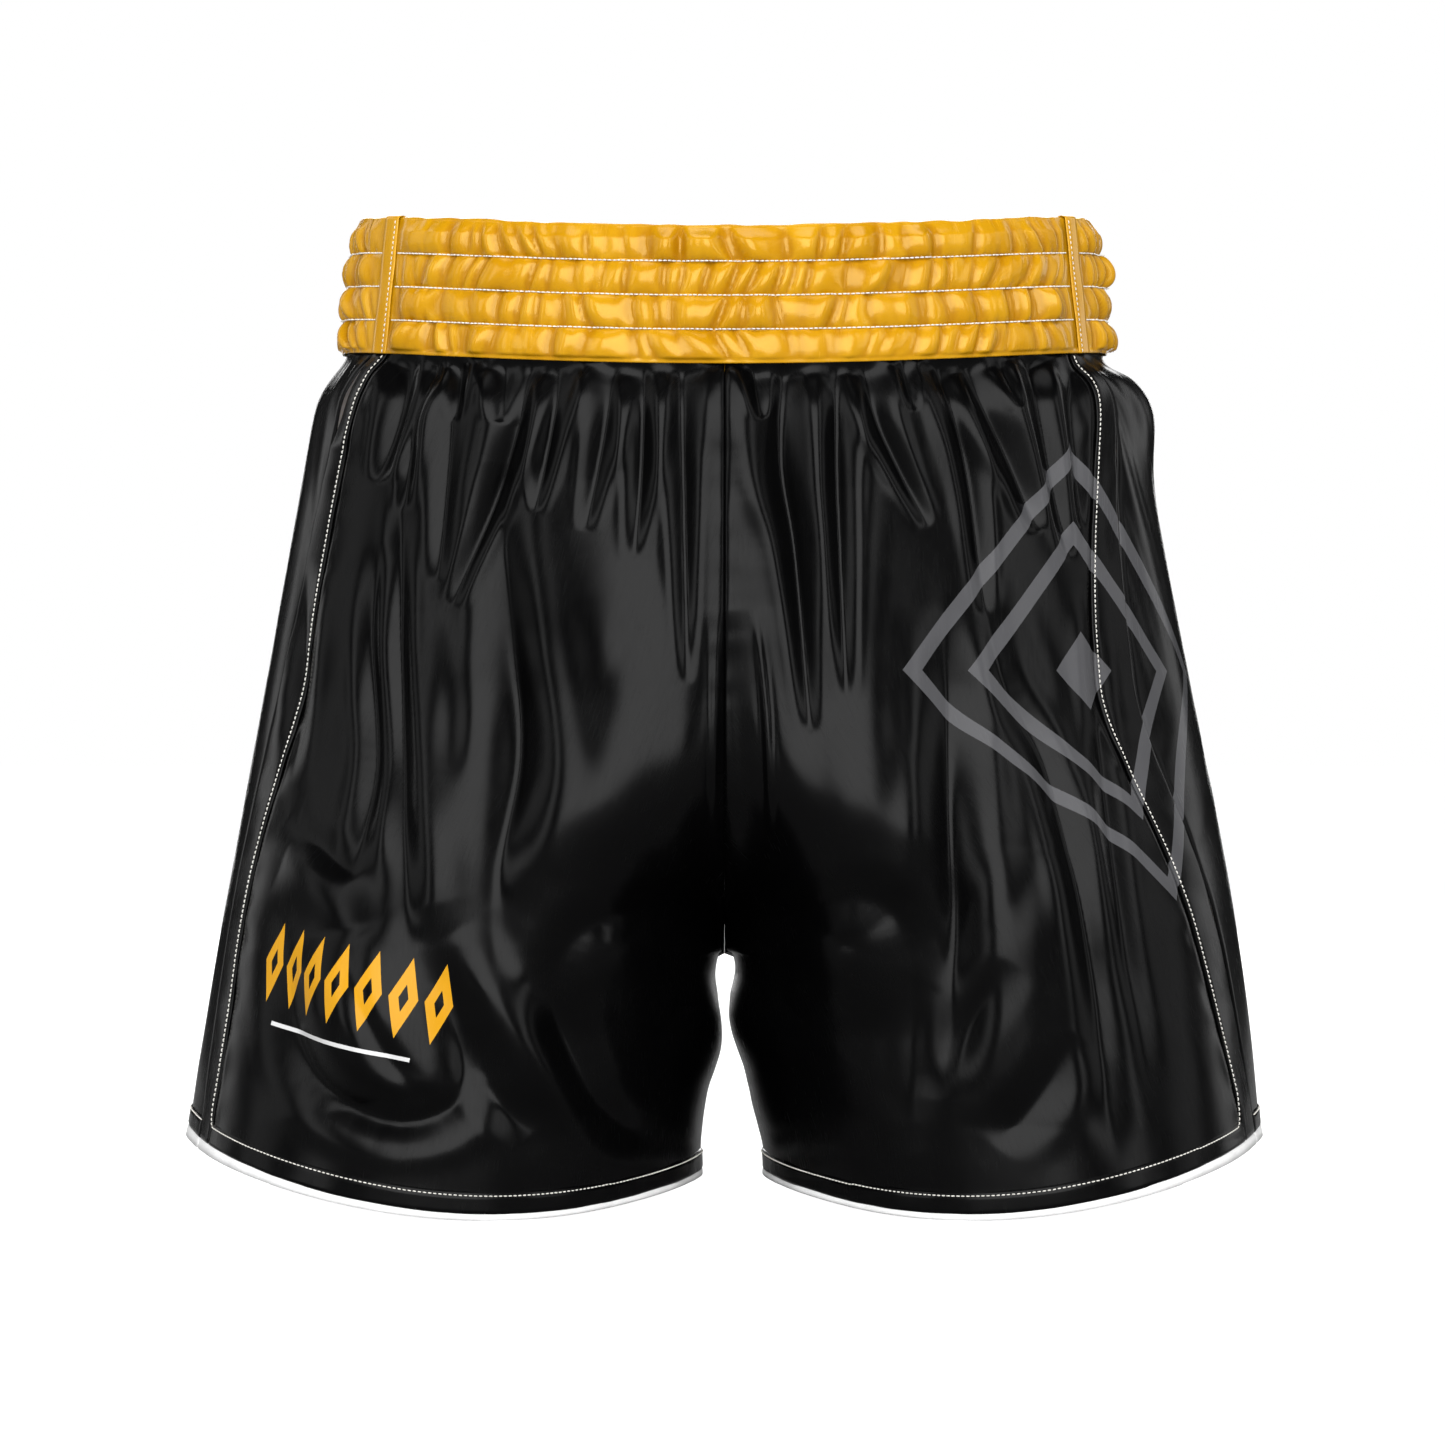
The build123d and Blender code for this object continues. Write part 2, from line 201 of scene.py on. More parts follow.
def arc_between(side, face, first, last, z, steps=14):
    """Length along the section from one turn to another, signed."""
    total = 0.0
    before = skin(side, face, first, z)
    for step in range(1, steps + 1):
        here = skin(side, face, first + (last - first) * step / steps, z)
        total = total + np.linalg.norm(here - before, axis=-1)
        before = here
    return total * np.sign(last - first)


def hem_height(turn):
    turn = np.abs(turn)
    outer = LOW_HEM_Z + (SIDE_HEM_Z - LOW_HEM_Z) * np.cos(turn / LOWEST_TURN * np.pi / 2) ** 2
    rise = np.sin((turn - LOWEST_TURN) / (np.pi - LOWEST_TURN) * np.pi / 2)
    inner = LOW_HEM_Z + (INSEAM_HEM_Z - LOW_HEM_Z) * rise**2
    return np.where(turn < LOWEST_TURN, outer, inner)


def facing_show(turn):
    return FACING_SHOW + FACING_SHOW_SIDE * np.cos(turn / 2) ** 4


def down_the_side(values, z):
    share = drop_share(WAIST_SEAM_Z - z)
    return values[0] + (values[1] - values[0]) * share + values[2] * np.sin(np.pi * share)


def seam_turn(z, side):
    return down_the_side(SEAM_TURNS[side], z)


def trim_width(z, side):
    return down_the_side(TRIM_WIDTHS[side], z)


def trim_turn(z, side):
    return trim_width(z, side) * turn_per_mm(side, seam_turn(z, side), z)


def mix(a, b, share):
    return a + (b - a) * share


# ---------------------------------------------------------------- smooth noise
def noise(x, y, seed):
    """Smooth noise, about -1 to 1, with no visible grid."""
    table = np.random.default_rng(seed).uniform(-1, 1, (64, 64))
    cell_x, cell_y = np.floor(x).astype(int), np.floor(y).astype(int)
    fx, fy = x - cell_x, y - cell_y

    def weights(f):
        return (
            (1 - f) ** 3 / 6,
            (3 * f**3 - 6 * f**2 + 4) / 6,
            (-3 * f**3 + 3 * f**2 + 3 * f + 1) / 6,
            f**3 / 6,
        )

    wx, wy = weights(fx), weights(fy)
    total = 0.0
    for i in range(4):
        for j in range(4):
            total = total + wx[i] * wy[j] * table[(cell_x + i) % 64, (cell_y + j) % 64]
    return total * 1.9


def billow(x, y, seed, softness=0.18):
    """Rounded ridges with narrow creases between them, about 0 to 1."""
    return np.sqrt(noise(x, y, seed) ** 2 + softness**2) - softness


def smooth_step(x, low, high):
    t = np.clip((x - low) / (high - low), 0, 1)
    return t * t * (3 - 2 * t)


# ---------------------------------------------------------------- folds
# Each fold: its line as (x, z) in front view, half width at its start and end, and height
# (negative for a valley). Gathers start full at the waistband and run out to a point.
GATHERS = [
    ([(-138, 368), (-144, 345), (-152, 318)], 7.1, 2.4, -5.4),
    ([(-126, 370), (-135, 345), (-140, 306)], 3.5, 2.4, -3.5),
    ([(-118, 368), (-121, 330), (-125, 275)], 8.3, 2.4, -4.1),
    ([(-116, 369), (-119, 345)], 3.5, 1.8, -3.0),
    ([(-96, 370), (-98, 343)], 7.1, 2.4, -4.1),
    ([(-84, 368), (-93, 335), (-104, 302), (-118, 264)], 6.5, 2.4, -5.9),
    ([(-72, 366), (-75, 345), (-82, 304)], 7.1, 2.2, -4.9),
    ([(-48, 366), (-53, 335), (-60, 296)], 6.5, 2.4, -3.8),
    ([(-35, 366), (-36, 330), (-39, 283)], 6.5, 2.4, -4.6),
    ([(-19, 367), (-18, 320), (-16, 230)], 7.1, 2.2, -5.1),
    ([(12, 369), (16, 344)], 5.3, 1.8, -3.8),
    ([(26, 366), (25, 325), (31, 285), (37, 208)], 10.6, 2.6, -8.6),
    ([(49, 367), (49, 320), (52, 222)], 7.1, 2.2, -5.4),
    ([(61, 367), (67, 342), (88, 298)], 6.5, 2.2, -5.1),
    ([(77, 369), (82, 348)], 3.5, 1.4, -2.4),
    ([(93, 367), (105, 328), (113, 260)], 5.9, 2.6, -5.4),
    ([(106, 367), (123, 332), (136, 296)], 7.7, 2.6, -6.8),
    ([(120, 369), (128, 350)], 3.5, 1.4, -2.4),
    ([(134, 369), (143, 322), (150, 284)], 5.3, 2.2, -4.6),
    ([(152, 366), (156, 298)], 4.7, 2.4, -3.8),
    ([(-167, 362), (-172, 335)], 5.9, 2.4, -3.2),
]
LONG_FOLDS = [
    # the columns that come straight down from the hips
    ([(-128, 262), (-127, 190), (-122, 118)], 9, 7, 3.0),
    ([(-60, 318), (-45, 245), (-45, 190), (-52, 145)], 26, 20, 5.0),
    ([(62, 315), (62, 245), (60, 190), (60, 150)], 24, 17, 4.5),
    ([(132, 160), (128, 100), (126, 40)], 20, 24, 5.0),
    # the dark hollows between them
    ([(-98, 326), (-94, 250), (-91, 200), (-97, 150), (-98, 100)], 7, 13, -9.5),
    ([(95, 268), (98, 205), (98, 150), (97, 100), (95, 52)], 8, 11, -9.0),
    ([(1, 262), (5, 205), (6, 150), (4, 122)], 9, 17, -7.0),
    ([(-141, 322), (-142, 250), (-140, 190), (-135, 116)], 3.5, 5.5, -3.8),
    ([(-150, 292), (-155, 250), (-152, 200), (-156, 170), (-162, 146)], 4, 5, -4.2),
    ([(112, 270), (121, 230), (139, 196), (151, 150), (159, 100), (163, 50), (168, 20)], 4.5, 7, -4.6),
    ([(158, 284), (163, 210), (172, 120), (181, 55)], 3.5, 5, -2.4),
    ([(-184, 288), (-186, 235), (-190, 188)], 5, 4, -3.2),
    ([(-192, 170), (-176, 160), (-160, 146)], 6, 6, -2.6),
    ([(-3, 262), (-4, 215), (-3, 160)], 1.7, 1.5, 1.5),
    ([(13, 262), (18, 215), (19, 160)], 1.7, 1.5, 1.5),
    # the pouch over the wearer's right thigh
    ([(-197, 138), (-188, 110), (-184, 80), (-170, 56), (-142, 42), (-118, 48), (-112, 66),
      (-117, 100), (-119, 118)], 8, 8, -5.0),
    ([(-148, 50), (-156, 88), (-166, 124)], 22, 20, 8.0),
    ([(-194, 150), (-174, 142), (-156, 120)], 12, 10, 3.0),
    ([(-160, 118), (-152, 90), (-140, 66), (-128, 50)], 4, 4, -1.8),
    ([(-116, 124), (-100, 95), (-85, 68), (-64, 42)], 9, 11, 5.0),
    ([(-106, 84), (-100, 55), (-84, 36)], 7, 7, -2.8),
    # round the crotch
    ([(-18, 131), (-42, 134), (-62, 128), (-73, 108), (-69, 80), (-57, 52), (-36, 32),
      (-14, 27)], 7, 8, -3.6),
    ([(-50, 119), (-36, 103), (-20, 86)], 16, 14, 3.0),
    ([(20, 127), (40, 135), (60, 141), (75, 130), (80, 105), (81, 60), (85, 28)], 7, 8, -3.6),
    ([(54, 121), (44, 104), (30, 88)], 16, 14, 3.0),
    ([(148, 80), (133, 52), (117, 32)], 8, 8, -3.4),
    ([(120, 112), (106, 84), (98, 58)], 8, 7, -2.6),
]
BACK_FOLDS = [
    ([(-9, 134), (-34, 140), (-60, 132), (-76, 106), (-82, 66)], 8, 8, -5.5),
    ([(-12, 112), (-34, 114), (-52, 98), (-58, 70)], 10, 9, 5.0),
    ([(9, 136), (36, 138), (58, 126), (74, 100), (84, 60)], 8, 8, -5.5),
    ([(14, 110), (38, 112), (52, 92), (60, 66)], 10, 9, 5.0),
    ([(0, 250), (0, 195), (0, 140)], 12, 18, -5.0),
    ([(-70, 310), (-62, 240), (-60, 160)], 22, 20, 4.5),
    ([(66, 310), (60, 235), (62, 160)], 22, 20, 4.5),
    ([(-108, 300), (-112, 230), (-108, 150), (-112, 80)], 9, 13, -8.0),
    ([(104, 296), (108, 220), (112, 140), (108, 70)], 9, 13, -8.0),
    ([(-150, 310), (-158, 230), (-166, 140), (-172, 60)], 5, 7, -4.5),
    ([(152, 310), (158, 230), (168, 140), (176, 60)], 5, 7, -4.5),
    ([(-170, 130), (-140, 96), (-126, 54)], 12, 12, 4.5),
    ([(168, 120), (142, 90), (130, 50)], 12, 12, 4.5),
]


def smooth_line(points, count=28):
    """A Catmull-Rom curve through given points."""
    pts = np.array([points[0], *points, points[-1]], float)
    spans = len(points) - 1
    out = []
    for k in np.linspace(0, spans, count):
        i = min(int(k), spans - 1)
        t = k - i
        a, b, c, d = pts[i : i + 4]
        out.append(0.5 * (2 * b + (c - a) * t + (2 * a - 5 * b + 4 * c - d) * t**2
                          + (3 * b - a - 3 * c + d) * t**3))
    return np.array(out)


def fold_relief(x, z, folds, gathered=False):
    """Height added by the listed folds."""
    total = np.zeros_like(x)
    for points, first, last, height in folds:
        line = smooth_line(points)
        margin = 3.2 * max(first, last)
        (x0, z0), (x1, z1) = line.min(axis=0) - margin, line.max(axis=0) + margin
        close = (x > x0) & (x < x1) & (z > z0) & (z < z1)
        px, pz = x[close], z[close]
        nearest = np.full(px.shape, 1e9)
        share = np.zeros_like(px)
        for i, (start, end) in enumerate(zip(line[:-1], line[1:])):
            dx, dz = end - start
            t = np.clip(((px - start[0]) * dx + (pz - start[1]) * dz) / (dx * dx + dz * dz), 0, 1)
            distance = (px - start[0] - t * dx) ** 2 + (pz - start[1] - t * dz) ** 2
            closer = distance < nearest
            nearest = np.where(closer, distance, nearest)
            share = np.where(closer, (i + t) / (len(line) - 1), share)
        across = np.sqrt(nearest) / mix(first, last, share)
        if gathered:
            along = np.sin(np.pi * (0.22 + 0.78 * share)) ** 0.8
        else:
            along = np.sin(np.pi * np.clip(share * 0.98 + 0.01, 0, 1)) ** 1.25
        if height < 0:  # a valley is sharper than a ridge
            middle = np.exp(-np.sqrt(across**2 + 0.025) ** 1.35 * 1.1) * 1.09
        else:
            middle = np.exp(-(across**2))
        shoulders = 0.26 * np.exp(-((across - 1.9) ** 2) / 0.7)
        total[close] += height * along * (middle - shoulders)
    return total


def gather_relief(s, below, seed):
    """Flutes that start at the waist seam and merge on the way down."""
    drift = 10 * noise(s / 60, below / 90, seed + 1) + 5 * noise(s / 25, below / 45, seed + 2)
    depth = np.maximum(below, 0)
    opening = 0.35 + 0.65 * smooth_step(depth, 0, 10)
    tucks = 2.6 * np.exp(-depth / 13) * billow((s + drift * 0.3) / 6.5, below / 40, seed + 3, 0.08)
    fine = 5.4 * np.exp(-depth / 58) * billow((s + drift * 0.7) / 14, below / 150, seed + 4, 0.08)
    middle = 5.4 * np.exp(-depth / 190) * billow((s + drift) / 31, below / 220, seed + 5, 0.12)
    broad = 4.6 * (1 - np.exp(-depth / 60)) * noise((s + drift) / 60, below / 240, seed + 6)
    return opening * (tucks + fine + middle) + broad - 1.6


def wrinkle_relief(s, z, seed):
    """Small soft wrinkles all over."""
    lean = noise(s / 70, z / 70, seed) * 30
    soft = 0.9 * billow((s + lean) / 26, (z + lean) / 60, seed + 1)
    return soft + 0.25 * noise(s / 9, z / 14, seed + 2)


HEM_FLARE = 6.0  # how far the outer half of each hem stands forward
LEG_FULLNESS = 9.0  # how far the cloth over each thigh hangs forward beside the crotch
FLANK_LIFT = 6.0  # how far the gathers stand out on the wearer's left flank


def relief(side, face, turn, z, points, normals):
    """How far the cloth stands out from the middle skin."""
    below = seam_height(turn, face) - z
    share = (turn - seam_turn(z, side)) / (sweep(z) - seam_turn(z, side))
    s = SIDES[side] * (1 - share) * 210
    on_front = turn * face < 0
    seed = 11 if face == FRONT else 57
    facing = np.abs(normals[..., 1])
    random_share = 0.28 if face == FRONT else 0.7
    height = random_share * gather_relief(s, below, seed) + wrinkle_relief(s, z, seed + 20)
    if face == FRONT:
        folds = fold_relief(points[..., 0], z, GATHERS, gathered=True)
        folds = folds + fold_relief(points[..., 0], z, LONG_FOLDS)
    else:
        folds = fold_relief(points[..., 0], z, BACK_FOLDS)
        folds = np.where(on_front, 0, folds)
    height = height + folds
    height = height * (0.25 + 0.75 * smooth_step(facing, 0.15, 0.75))
    to_seam = (sweep(z) - turn) * HEM_HALF_DEPTH
    height = height * mix(1.0, smooth_step(to_seam, 0, 22), smooth_step(fork_share(z), 0.25, 0.8))
    hem_calm = 0.25 + 0.75 * smooth_step(z - hem_height(turn), 4, 34)
    waist_calm = smooth_step(below, -2, 5)
    flared = HEM_FLARE * smooth_step(170 - z, 0, 160) * smooth_step(facing, 0.2, 0.8)
    flared = flared * smooth_step(np.abs(points[..., 0]), 30, 110)
    from_thigh = (np.abs(points[..., 0]) - 56) / 26
    hanging = LEG_FULLNESS * np.exp(-from_thigh**2) * smooth_step(228 - z, 0, 105) * smooth_step(z, 76, 122)
    if face == FRONT:
        flared = flared + hanging * smooth_step(facing, 0.2, 0.7)
    if side == "left":
        flank = np.exp(-(((z - 352) / 22) ** 2)) * smooth_step(1 - facing, 0.3, 0.9)
        flared = flared + FLANK_LIFT * flank * smooth_step(below, 0, 14)
    return height * hem_calm * (0.3 + 0.7 * waist_calm) + flared


# ---------------------------------------------------------------- meshes
def add_object(name, verts, faces, uvs=None):
    mesh = bpy.data.meshes.new(name)
    mesh.from_pydata((np.asarray(verts) * MM).tolist(), [], faces.tolist())
    mesh.update()
    mesh.polygons.foreach_set("use_smooth", [True] * len(mesh.polygons))
    if uvs is not None:
        layer = mesh.uv_layers.new(name="cloth")
        loops = np.empty(len(mesh.loops), dtype=np.int64)
        mesh.loops.foreach_get("vertex_index", loops)
        layer.data.foreach_set("uv", (np.asarray(uvs) * MM)[loops].ravel())
    obj = bpy.data.objects.new(name, mesh)
    bpy.context.collection.objects.link(obj)
    return obj


def store_crease_shade(obj, values):
    """Stores how deep each point lies in a crease, 0 to 1, which the material paints as shade."""
    layer = obj.data.attributes.new("crease_shade", "FLOAT", "POINT")
    layer.data.foreach_set("value", np.ascontiguousarray(values, dtype=np.float32).ravel())


def grid_faces(rows, columns, flip=False):
    index = np.arange(rows * columns).reshape(rows, columns)
    quads = np.stack([index[:-1, :-1], index[:-1, 1:], index[1:, 1:], index[1:, :-1]], axis=-1)
    quads = quads.reshape(-1, 4)
    return quads[:, ::-1] if flip else quads


def grid_object(name, points, u, v, flip=False):
    rows, columns = points.shape[:2]
    uvs = np.stack([u + 0 * points[..., 0], v + 0 * points[..., 0]], axis=-1)
    return add_object(name, points.reshape(-1, 3), grid_faces(rows, columns, flip), uvs.reshape(-1, 2))


# Thicknesses as drawn, in millimetres
SATIN = 0.5
HEM_CLOTH = 0.6
FACING_CLOTH = 1.0
CASING_CLOTH = 0.35


def thicken(obj, thickness, lining=None):
    """Gives a sheet its cloth thickness, inwards, with the lining's material on its inner side."""
    solid = obj.modifiers.new("thickness", "SOLIDIFY")
    solid.thickness = thickness * MM
    solid.offset = -1
    if lining:
        obj.data.materials.append(lining)
        solid.material_offset = 1


def finish_sheet(obj, nodes, material):
    """Material, body and CAD nodes of one sewn piece."""
    obj.data.materials.append(material)
    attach(obj, "root")
    if nodes:
        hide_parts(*nodes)
    return obj


def edge_roll(distance, width, depth):
    """How far a turned-in edge dips, from the distance to the edge."""
    return depth * np.exp(-((np.maximum(distance, 0) / width) ** 2))


# ---------------------------------------------------------------- body panels
def panel_grid(side, face, columns, rows):
    """Turns and heights of a panel's grid, which runs a little under the trims."""
    u = np.linspace(0, 1, columns)[None, :]
    v = np.linspace(0, 1, rows)[:, None] ** 1.25

    def start(z):
        if face == BACK:
            return -seam_turn(z, side)
        return seam_turn(z, side) + trim_turn(z, side) - 2.5 * turn_per_mm(side, seam_turn(z, side), z)

    def turn_at(z):
        return mix(start(z), sweep(z) - 0.05 / HEM_HALF_DEPTH, u)

    top = seam_height(mix(start(np.float64(WAIST_SEAM_Z)), np.pi / 2, u), face) + 2
    low = hem_height(mix(start(np.float64(SIDE_HEM_Z)), np.pi, u)) + HEM_BAND_HEIGHT - 2.5
    z = mix(top, low, v)
    return turn_at(z), z


def cloth_points(side, face, turn, z, lift=0.0):
    points = skin(side, face, turn, z)
    normals = outwards(side, face, turn, z)
    height = relief(side, face, turn, z, points, normals)
    return points + normals * (height + lift)[..., None], normals


def centre_distance(side, face, turn, z):
    return arc_between(side, face, turn, sweep(z) + 0 * turn, z)


def side_distance(side, face, turn, z):
    seam = seam_turn(z, side) if face == FRONT else -seam_turn(z, side)
    return arc_between(side, face, seam + 0 * turn, turn, z)


def seam_allowance(side, face, points, arc, z):
    """The turned-in edge along the centre seam, where the two sides' panels lie against each other."""
    edge = points[:, -1]
    above = smooth_step(z[:, -1], CROTCH_Z - 0.4, CROTCH_Z + 1.0)
    extra = []
    for reach in (0.8, 2.0, 3.5):
        inside = edge.copy()
        inside[:, 0] = np.where(above > 0, SIDES[side] * CENTRE_GAP, edge[:, 0])
        inside[:, 1] -= face * np.minimum(reach, np.abs(edge[:, 1])) * above
        extra.append(inside)
    reached = np.array([0.8, 2.0, 3.5])
    points = np.concatenate([points, np.stack(extra, axis=1)], axis=1)
    arc = np.concatenate([arc, arc[:, -1:] + reached], axis=1)
    return points, arc, np.concatenate([z, np.repeat(z[:, -1:], len(reached), axis=1)], axis=1)


def body_panel(side, face, looks):
    columns, rows = (int(n * DETAIL) for n in ((210, 290) if face == FRONT else (250, 290)))
    turn, z = panel_grid(side, face, columns, rows)
    from_centre = centre_distance(side, face, turn, z)
    from_side = side_distance(side, face, turn, z)
    pucker = 0.28 * np.exp(-from_centre / 7) * noise(z / 5.5, from_centre / 20, 90)
    above_crotch = smooth_step(z, CROTCH_Z, FORK_TOP_Z)
    lift = pucker - edge_roll(from_centre, 1.3, 0.9) * above_crotch
    if face == BACK:
        lift = lift - edge_roll(from_side, 1.2, 0.7)
    else:
        to_trim = from_side - trim_width(z, side)
        lift = lift - edge_roll(to_trim, 1.6, 0.8)
        lift = lift + 0.5 * np.exp(-np.abs(to_trim - 4) / 4) * noise(z / 6, to_trim / 9, 91)
    points, _ = cloth_points(side, face, turn, z, lift)
    points, arc, z = seam_allowance(side, face, points, from_side, z)
    word = WORDS[face]
    name = f"{word}_panel_{side}"
    obj = grid_object(f"{name}_satin", points, -face * arc, z, flip=(face * SIDES[side] > 0))
    satin = looks["satin_" + name] if "satin_" + name in looks else looks["satin"]
    finish_sheet(obj, [name], satin)
    thicken(obj, SATIN, looks["lining"])


# ---------------------------------------------------------------- trims and hems
TRIM_LIFT = 0.75
STITCH_INSET = 1.7  # topstitching, from a band's sewn edge


def trim_lift(from_edges, from_stitch):
    """A pressed band: its edges turn in and the stitching sinks into it."""
    lift = TRIM_LIFT - 0.45 * np.exp(-((from_stitch / 0.6) ** 2))
    for distance in from_edges:
        lift = lift - edge_roll(distance, 0.8, 0.95)
    return lift


def side_trim(side, looks):
    columns, rows = 30, int(300 * DETAIL)
    u = np.linspace(0, 1, columns)[None, :]
    v = np.linspace(0, 1, rows)[:, None] ** 1.25
    hem_turn = seam_turn(SIDE_HEM_Z, side) + u * trim_turn(SIDE_HEM_Z, side)
    top = seam_height(seam_turn(WAIST_SEAM_Z, side), FRONT) + 2
    z = mix(top, hem_height(hem_turn), v)
    turn = seam_turn(z, side) + trim_turn(z, side) * u
    width = trim_width(z, side)
    across = width * u
    to_hem = z - hem_height(turn)
    lift = trim_lift((across, width - across, to_hem), width - across - STITCH_INSET)
    lift = lift + 0.25 * noise(z / 7, across / 12, 71)
    points, _ = cloth_points(side, FRONT, turn, z, lift)
    name = f"side_trim_{side}"
    obj = grid_object(f"{name}_satin", points, across, z, flip=(SIDES[side] < 0))
    satin = looks.get("satin_" + name, looks["satin"])
    finish_sheet(obj, [name], satin)
    thicken(obj, SATIN)


def hem_strip(side, face, columns, rows, low, high):
    """A grid round the front or back of a leg opening, with heights measured from the hem line."""
    seam = seam_turn(SIDE_HEM_Z, side)
    first = seam + trim_turn(SIDE_HEM_Z, side) if face == FRONT else -seam
    if low < 0:
        first = seam if face == FRONT else -seam
    turn = mix(first, np.pi - 0.0015, np.linspace(0, 1, columns))[None, :]
    height = mix(low, high, np.linspace(0, 1, rows))[:, None]
    return turn, height, hem_height(turn) + height


def hem_band(side, face, looks):
    turn, height, z = hem_strip(side, face, int(280 * DETAIL), 22, 0, HEM_BAND_HEIGHT)
    turn = turn + 0 * z
    from_side = arc_between(side, face, turn[:, :1], turn, z)
    from_centre = centre_distance(side, face, turn, z)
    lift = trim_lift((height, HEM_BAND_HEIGHT - height), HEM_BAND_HEIGHT - height - STITCH_INSET)
    lift = lift - edge_roll(from_centre, 0.9, 0.7) + 0.25 * noise(from_side / 8, height / 12, 72)
    if face == BACK:
        lift = lift - edge_roll(from_side, 0.9, 0.7)
    points, _ = cloth_points(side, face, turn, z, lift)
    word = WORDS[face]
    name = f"{word}_hem_band_{side}"
    obj = grid_object(f"{name}_satin", points, from_side, z, flip=(face * SIDES[side] < 0))
    finish_sheet(obj, [name], looks["satin"])
    thicken(obj, HEM_CLOTH)


def hem_facing(side, face, looks):
    """The white facing inside a hem, which shows below it as a rolled white edge."""
    turn, height, z = hem_strip(side, face, int(300 * DETAIL), 26, -1, 13)
    show = facing_show(turn)
    height = np.where(height < 0, height * show, height)
    z = hem_height(turn) + height
    turn = turn + 0 * z
    from_side = arc_between(side, face, turn[:, :1], turn, z)
    from_centre = centre_distance(side, face, turn, z)
    under = smooth_step(height, -0.2, 1.6)
    lift = mix(0.75, -1.0, under) + 0.12 * noise(from_side / 6, height / 8, 73)
    lift = lift - edge_roll(from_side, 0.8, 0.9) - edge_roll(from_centre, 0.8, 0.9)
    points, _ = cloth_points(side, face, turn, z, lift)
    word = WORDS[face]
    name = f"{word}_hem_facing_{side}"
    obj = grid_object(f"{name}_cotton", points, from_side, z, flip=(face * SIDES[side] < 0))
    finish_sheet(obj, [name], looks["facing"])
    thicken(obj, FACING_CLOTH)


# ---------------------------------------------------------------- stitches
STITCH_PITCH = 2.2
STITCH_LENGTH = 1.65
STITCH_RADIUS = 0.3
RING_SHARES = np.array([-0.5, -0.38, 0.0, 0.38, 0.5])
RING_SIZES = np.array([0.25, 0.85, 1.0, 0.85, 0.25])
RING_LIFTS = np.array([-0.35, 0.0, 0.16, 0.0, -0.35])
RING_SIDES = 6


def resampled(points, normals, pitch):
    """Points at an even pitch along a path, with their normals and directions."""
    steps = np.linalg.norm(np.diff(points, axis=0), axis=1)
    run = np.concatenate([[0], np.cumsum(steps)])
    count = int(run[-1] / pitch)
    at = (np.arange(count) + 0.5) * run[-1] / count
    places = np.stack([np.interp(at, run, points[:, i]) for i in range(3)], axis=1)
    ups = unit(np.stack([np.interp(at, run, normals[:, i]) for i in range(3)], axis=1))
    ahead = np.stack([np.interp(at + 0.4, run, points[:, i]) for i in range(3)], axis=1)
    behind = np.stack([np.interp(at - 0.4, run, points[:, i]) for i in range(3)], axis=1)
    return places, ups, unit(ahead - behind)


def stitch_geometry(points, normals, length, radius):
    """One small plump thread per stitch, its ends going down into the cloth."""
    places, ups, along = resampled(points, normals, STITCH_PITCH)
    beside = unit(np.cross(along, ups))
    angle = np.arange(RING_SIDES) * 2 * np.pi / RING_SIDES
    verts = []
    for share, size, lift in zip(RING_SHARES, RING_SIZES, RING_LIFTS):
        centre = places + along * (share * length) + ups * lift
        for a in angle:
            verts.append(centre + (beside * np.cos(a) + ups * np.sin(a)) * radius * size)
    verts = np.stack(verts, axis=1)
    faces = []
    for ring in range(len(RING_SHARES) - 1):
        for i in range(RING_SIDES):
            j = (i + 1) % RING_SIDES
            low, high = ring * RING_SIDES, (ring + 1) * RING_SIDES
            faces.append([low + i, low + j, high + j, high + i])
    per_stitch = verts.shape[1]
    faces = np.array(faces)[None] + np.arange(len(places))[:, None, None] * per_stitch
    return verts.reshape(-1, 3), faces.reshape(-1, 4)


def stitch_object(name, runs, nodes, looks, length=STITCH_LENGTH, radius=STITCH_RADIUS):
    verts, faces, count = [], [], 0
    for points, normals in runs:
        run_verts, run_faces = stitch_geometry(points, normals, length, radius)
        verts.append(run_verts)
        faces.append(run_faces + count)
        count += len(run_verts)
    verts = np.concatenate(verts)
    obj = add_object(name, verts, np.concatenate(faces), verts[:, [0, 2]])
    obj.data.materials.append(looks["thread"])
    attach(obj, "root")
    if nodes:
        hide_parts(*nodes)
    return obj


def front_topstitch(side, looks):
    """One row down the side trim, round the corner and along the hem band."""
    corner = 7.0
    z = np.linspace(WAIST_SEAM_Z - 3, SIDE_HEM_Z + HEM_BAND_HEIGHT + corner, 260)
    inset = STITCH_INSET * turn_per_mm(side, seam_turn(z, side), z)
    down = np.stack([seam_turn(z, side) + trim_turn(z, side) - inset, z], axis=1)
    last = down[-1, 0]
    turn = np.linspace(last + corner / HEM_HALF_DEPTH, np.pi - 0.01, 260)
    hem = np.stack([turn, hem_height(turn) + HEM_BAND_HEIGHT - STITCH_INSET], axis=1)
    bend = np.array([last, hem[0, 1]])
    t = np.linspace(0, 1, 12)[1:-1, None]
    turned = (1 - t) ** 2 * down[-1] + 2 * t * (1 - t) * bend + t**2 * hem[0]
    path = np.concatenate([down, turned, hem])
    points, normals = cloth_points(side, FRONT, path[:, 0], path[:, 1], TRIM_LIFT - 0.15)
    name = f"front_topstitch_{side}"
    return stitch_object(f"{name}_thread", [(points, normals)], [name], looks)


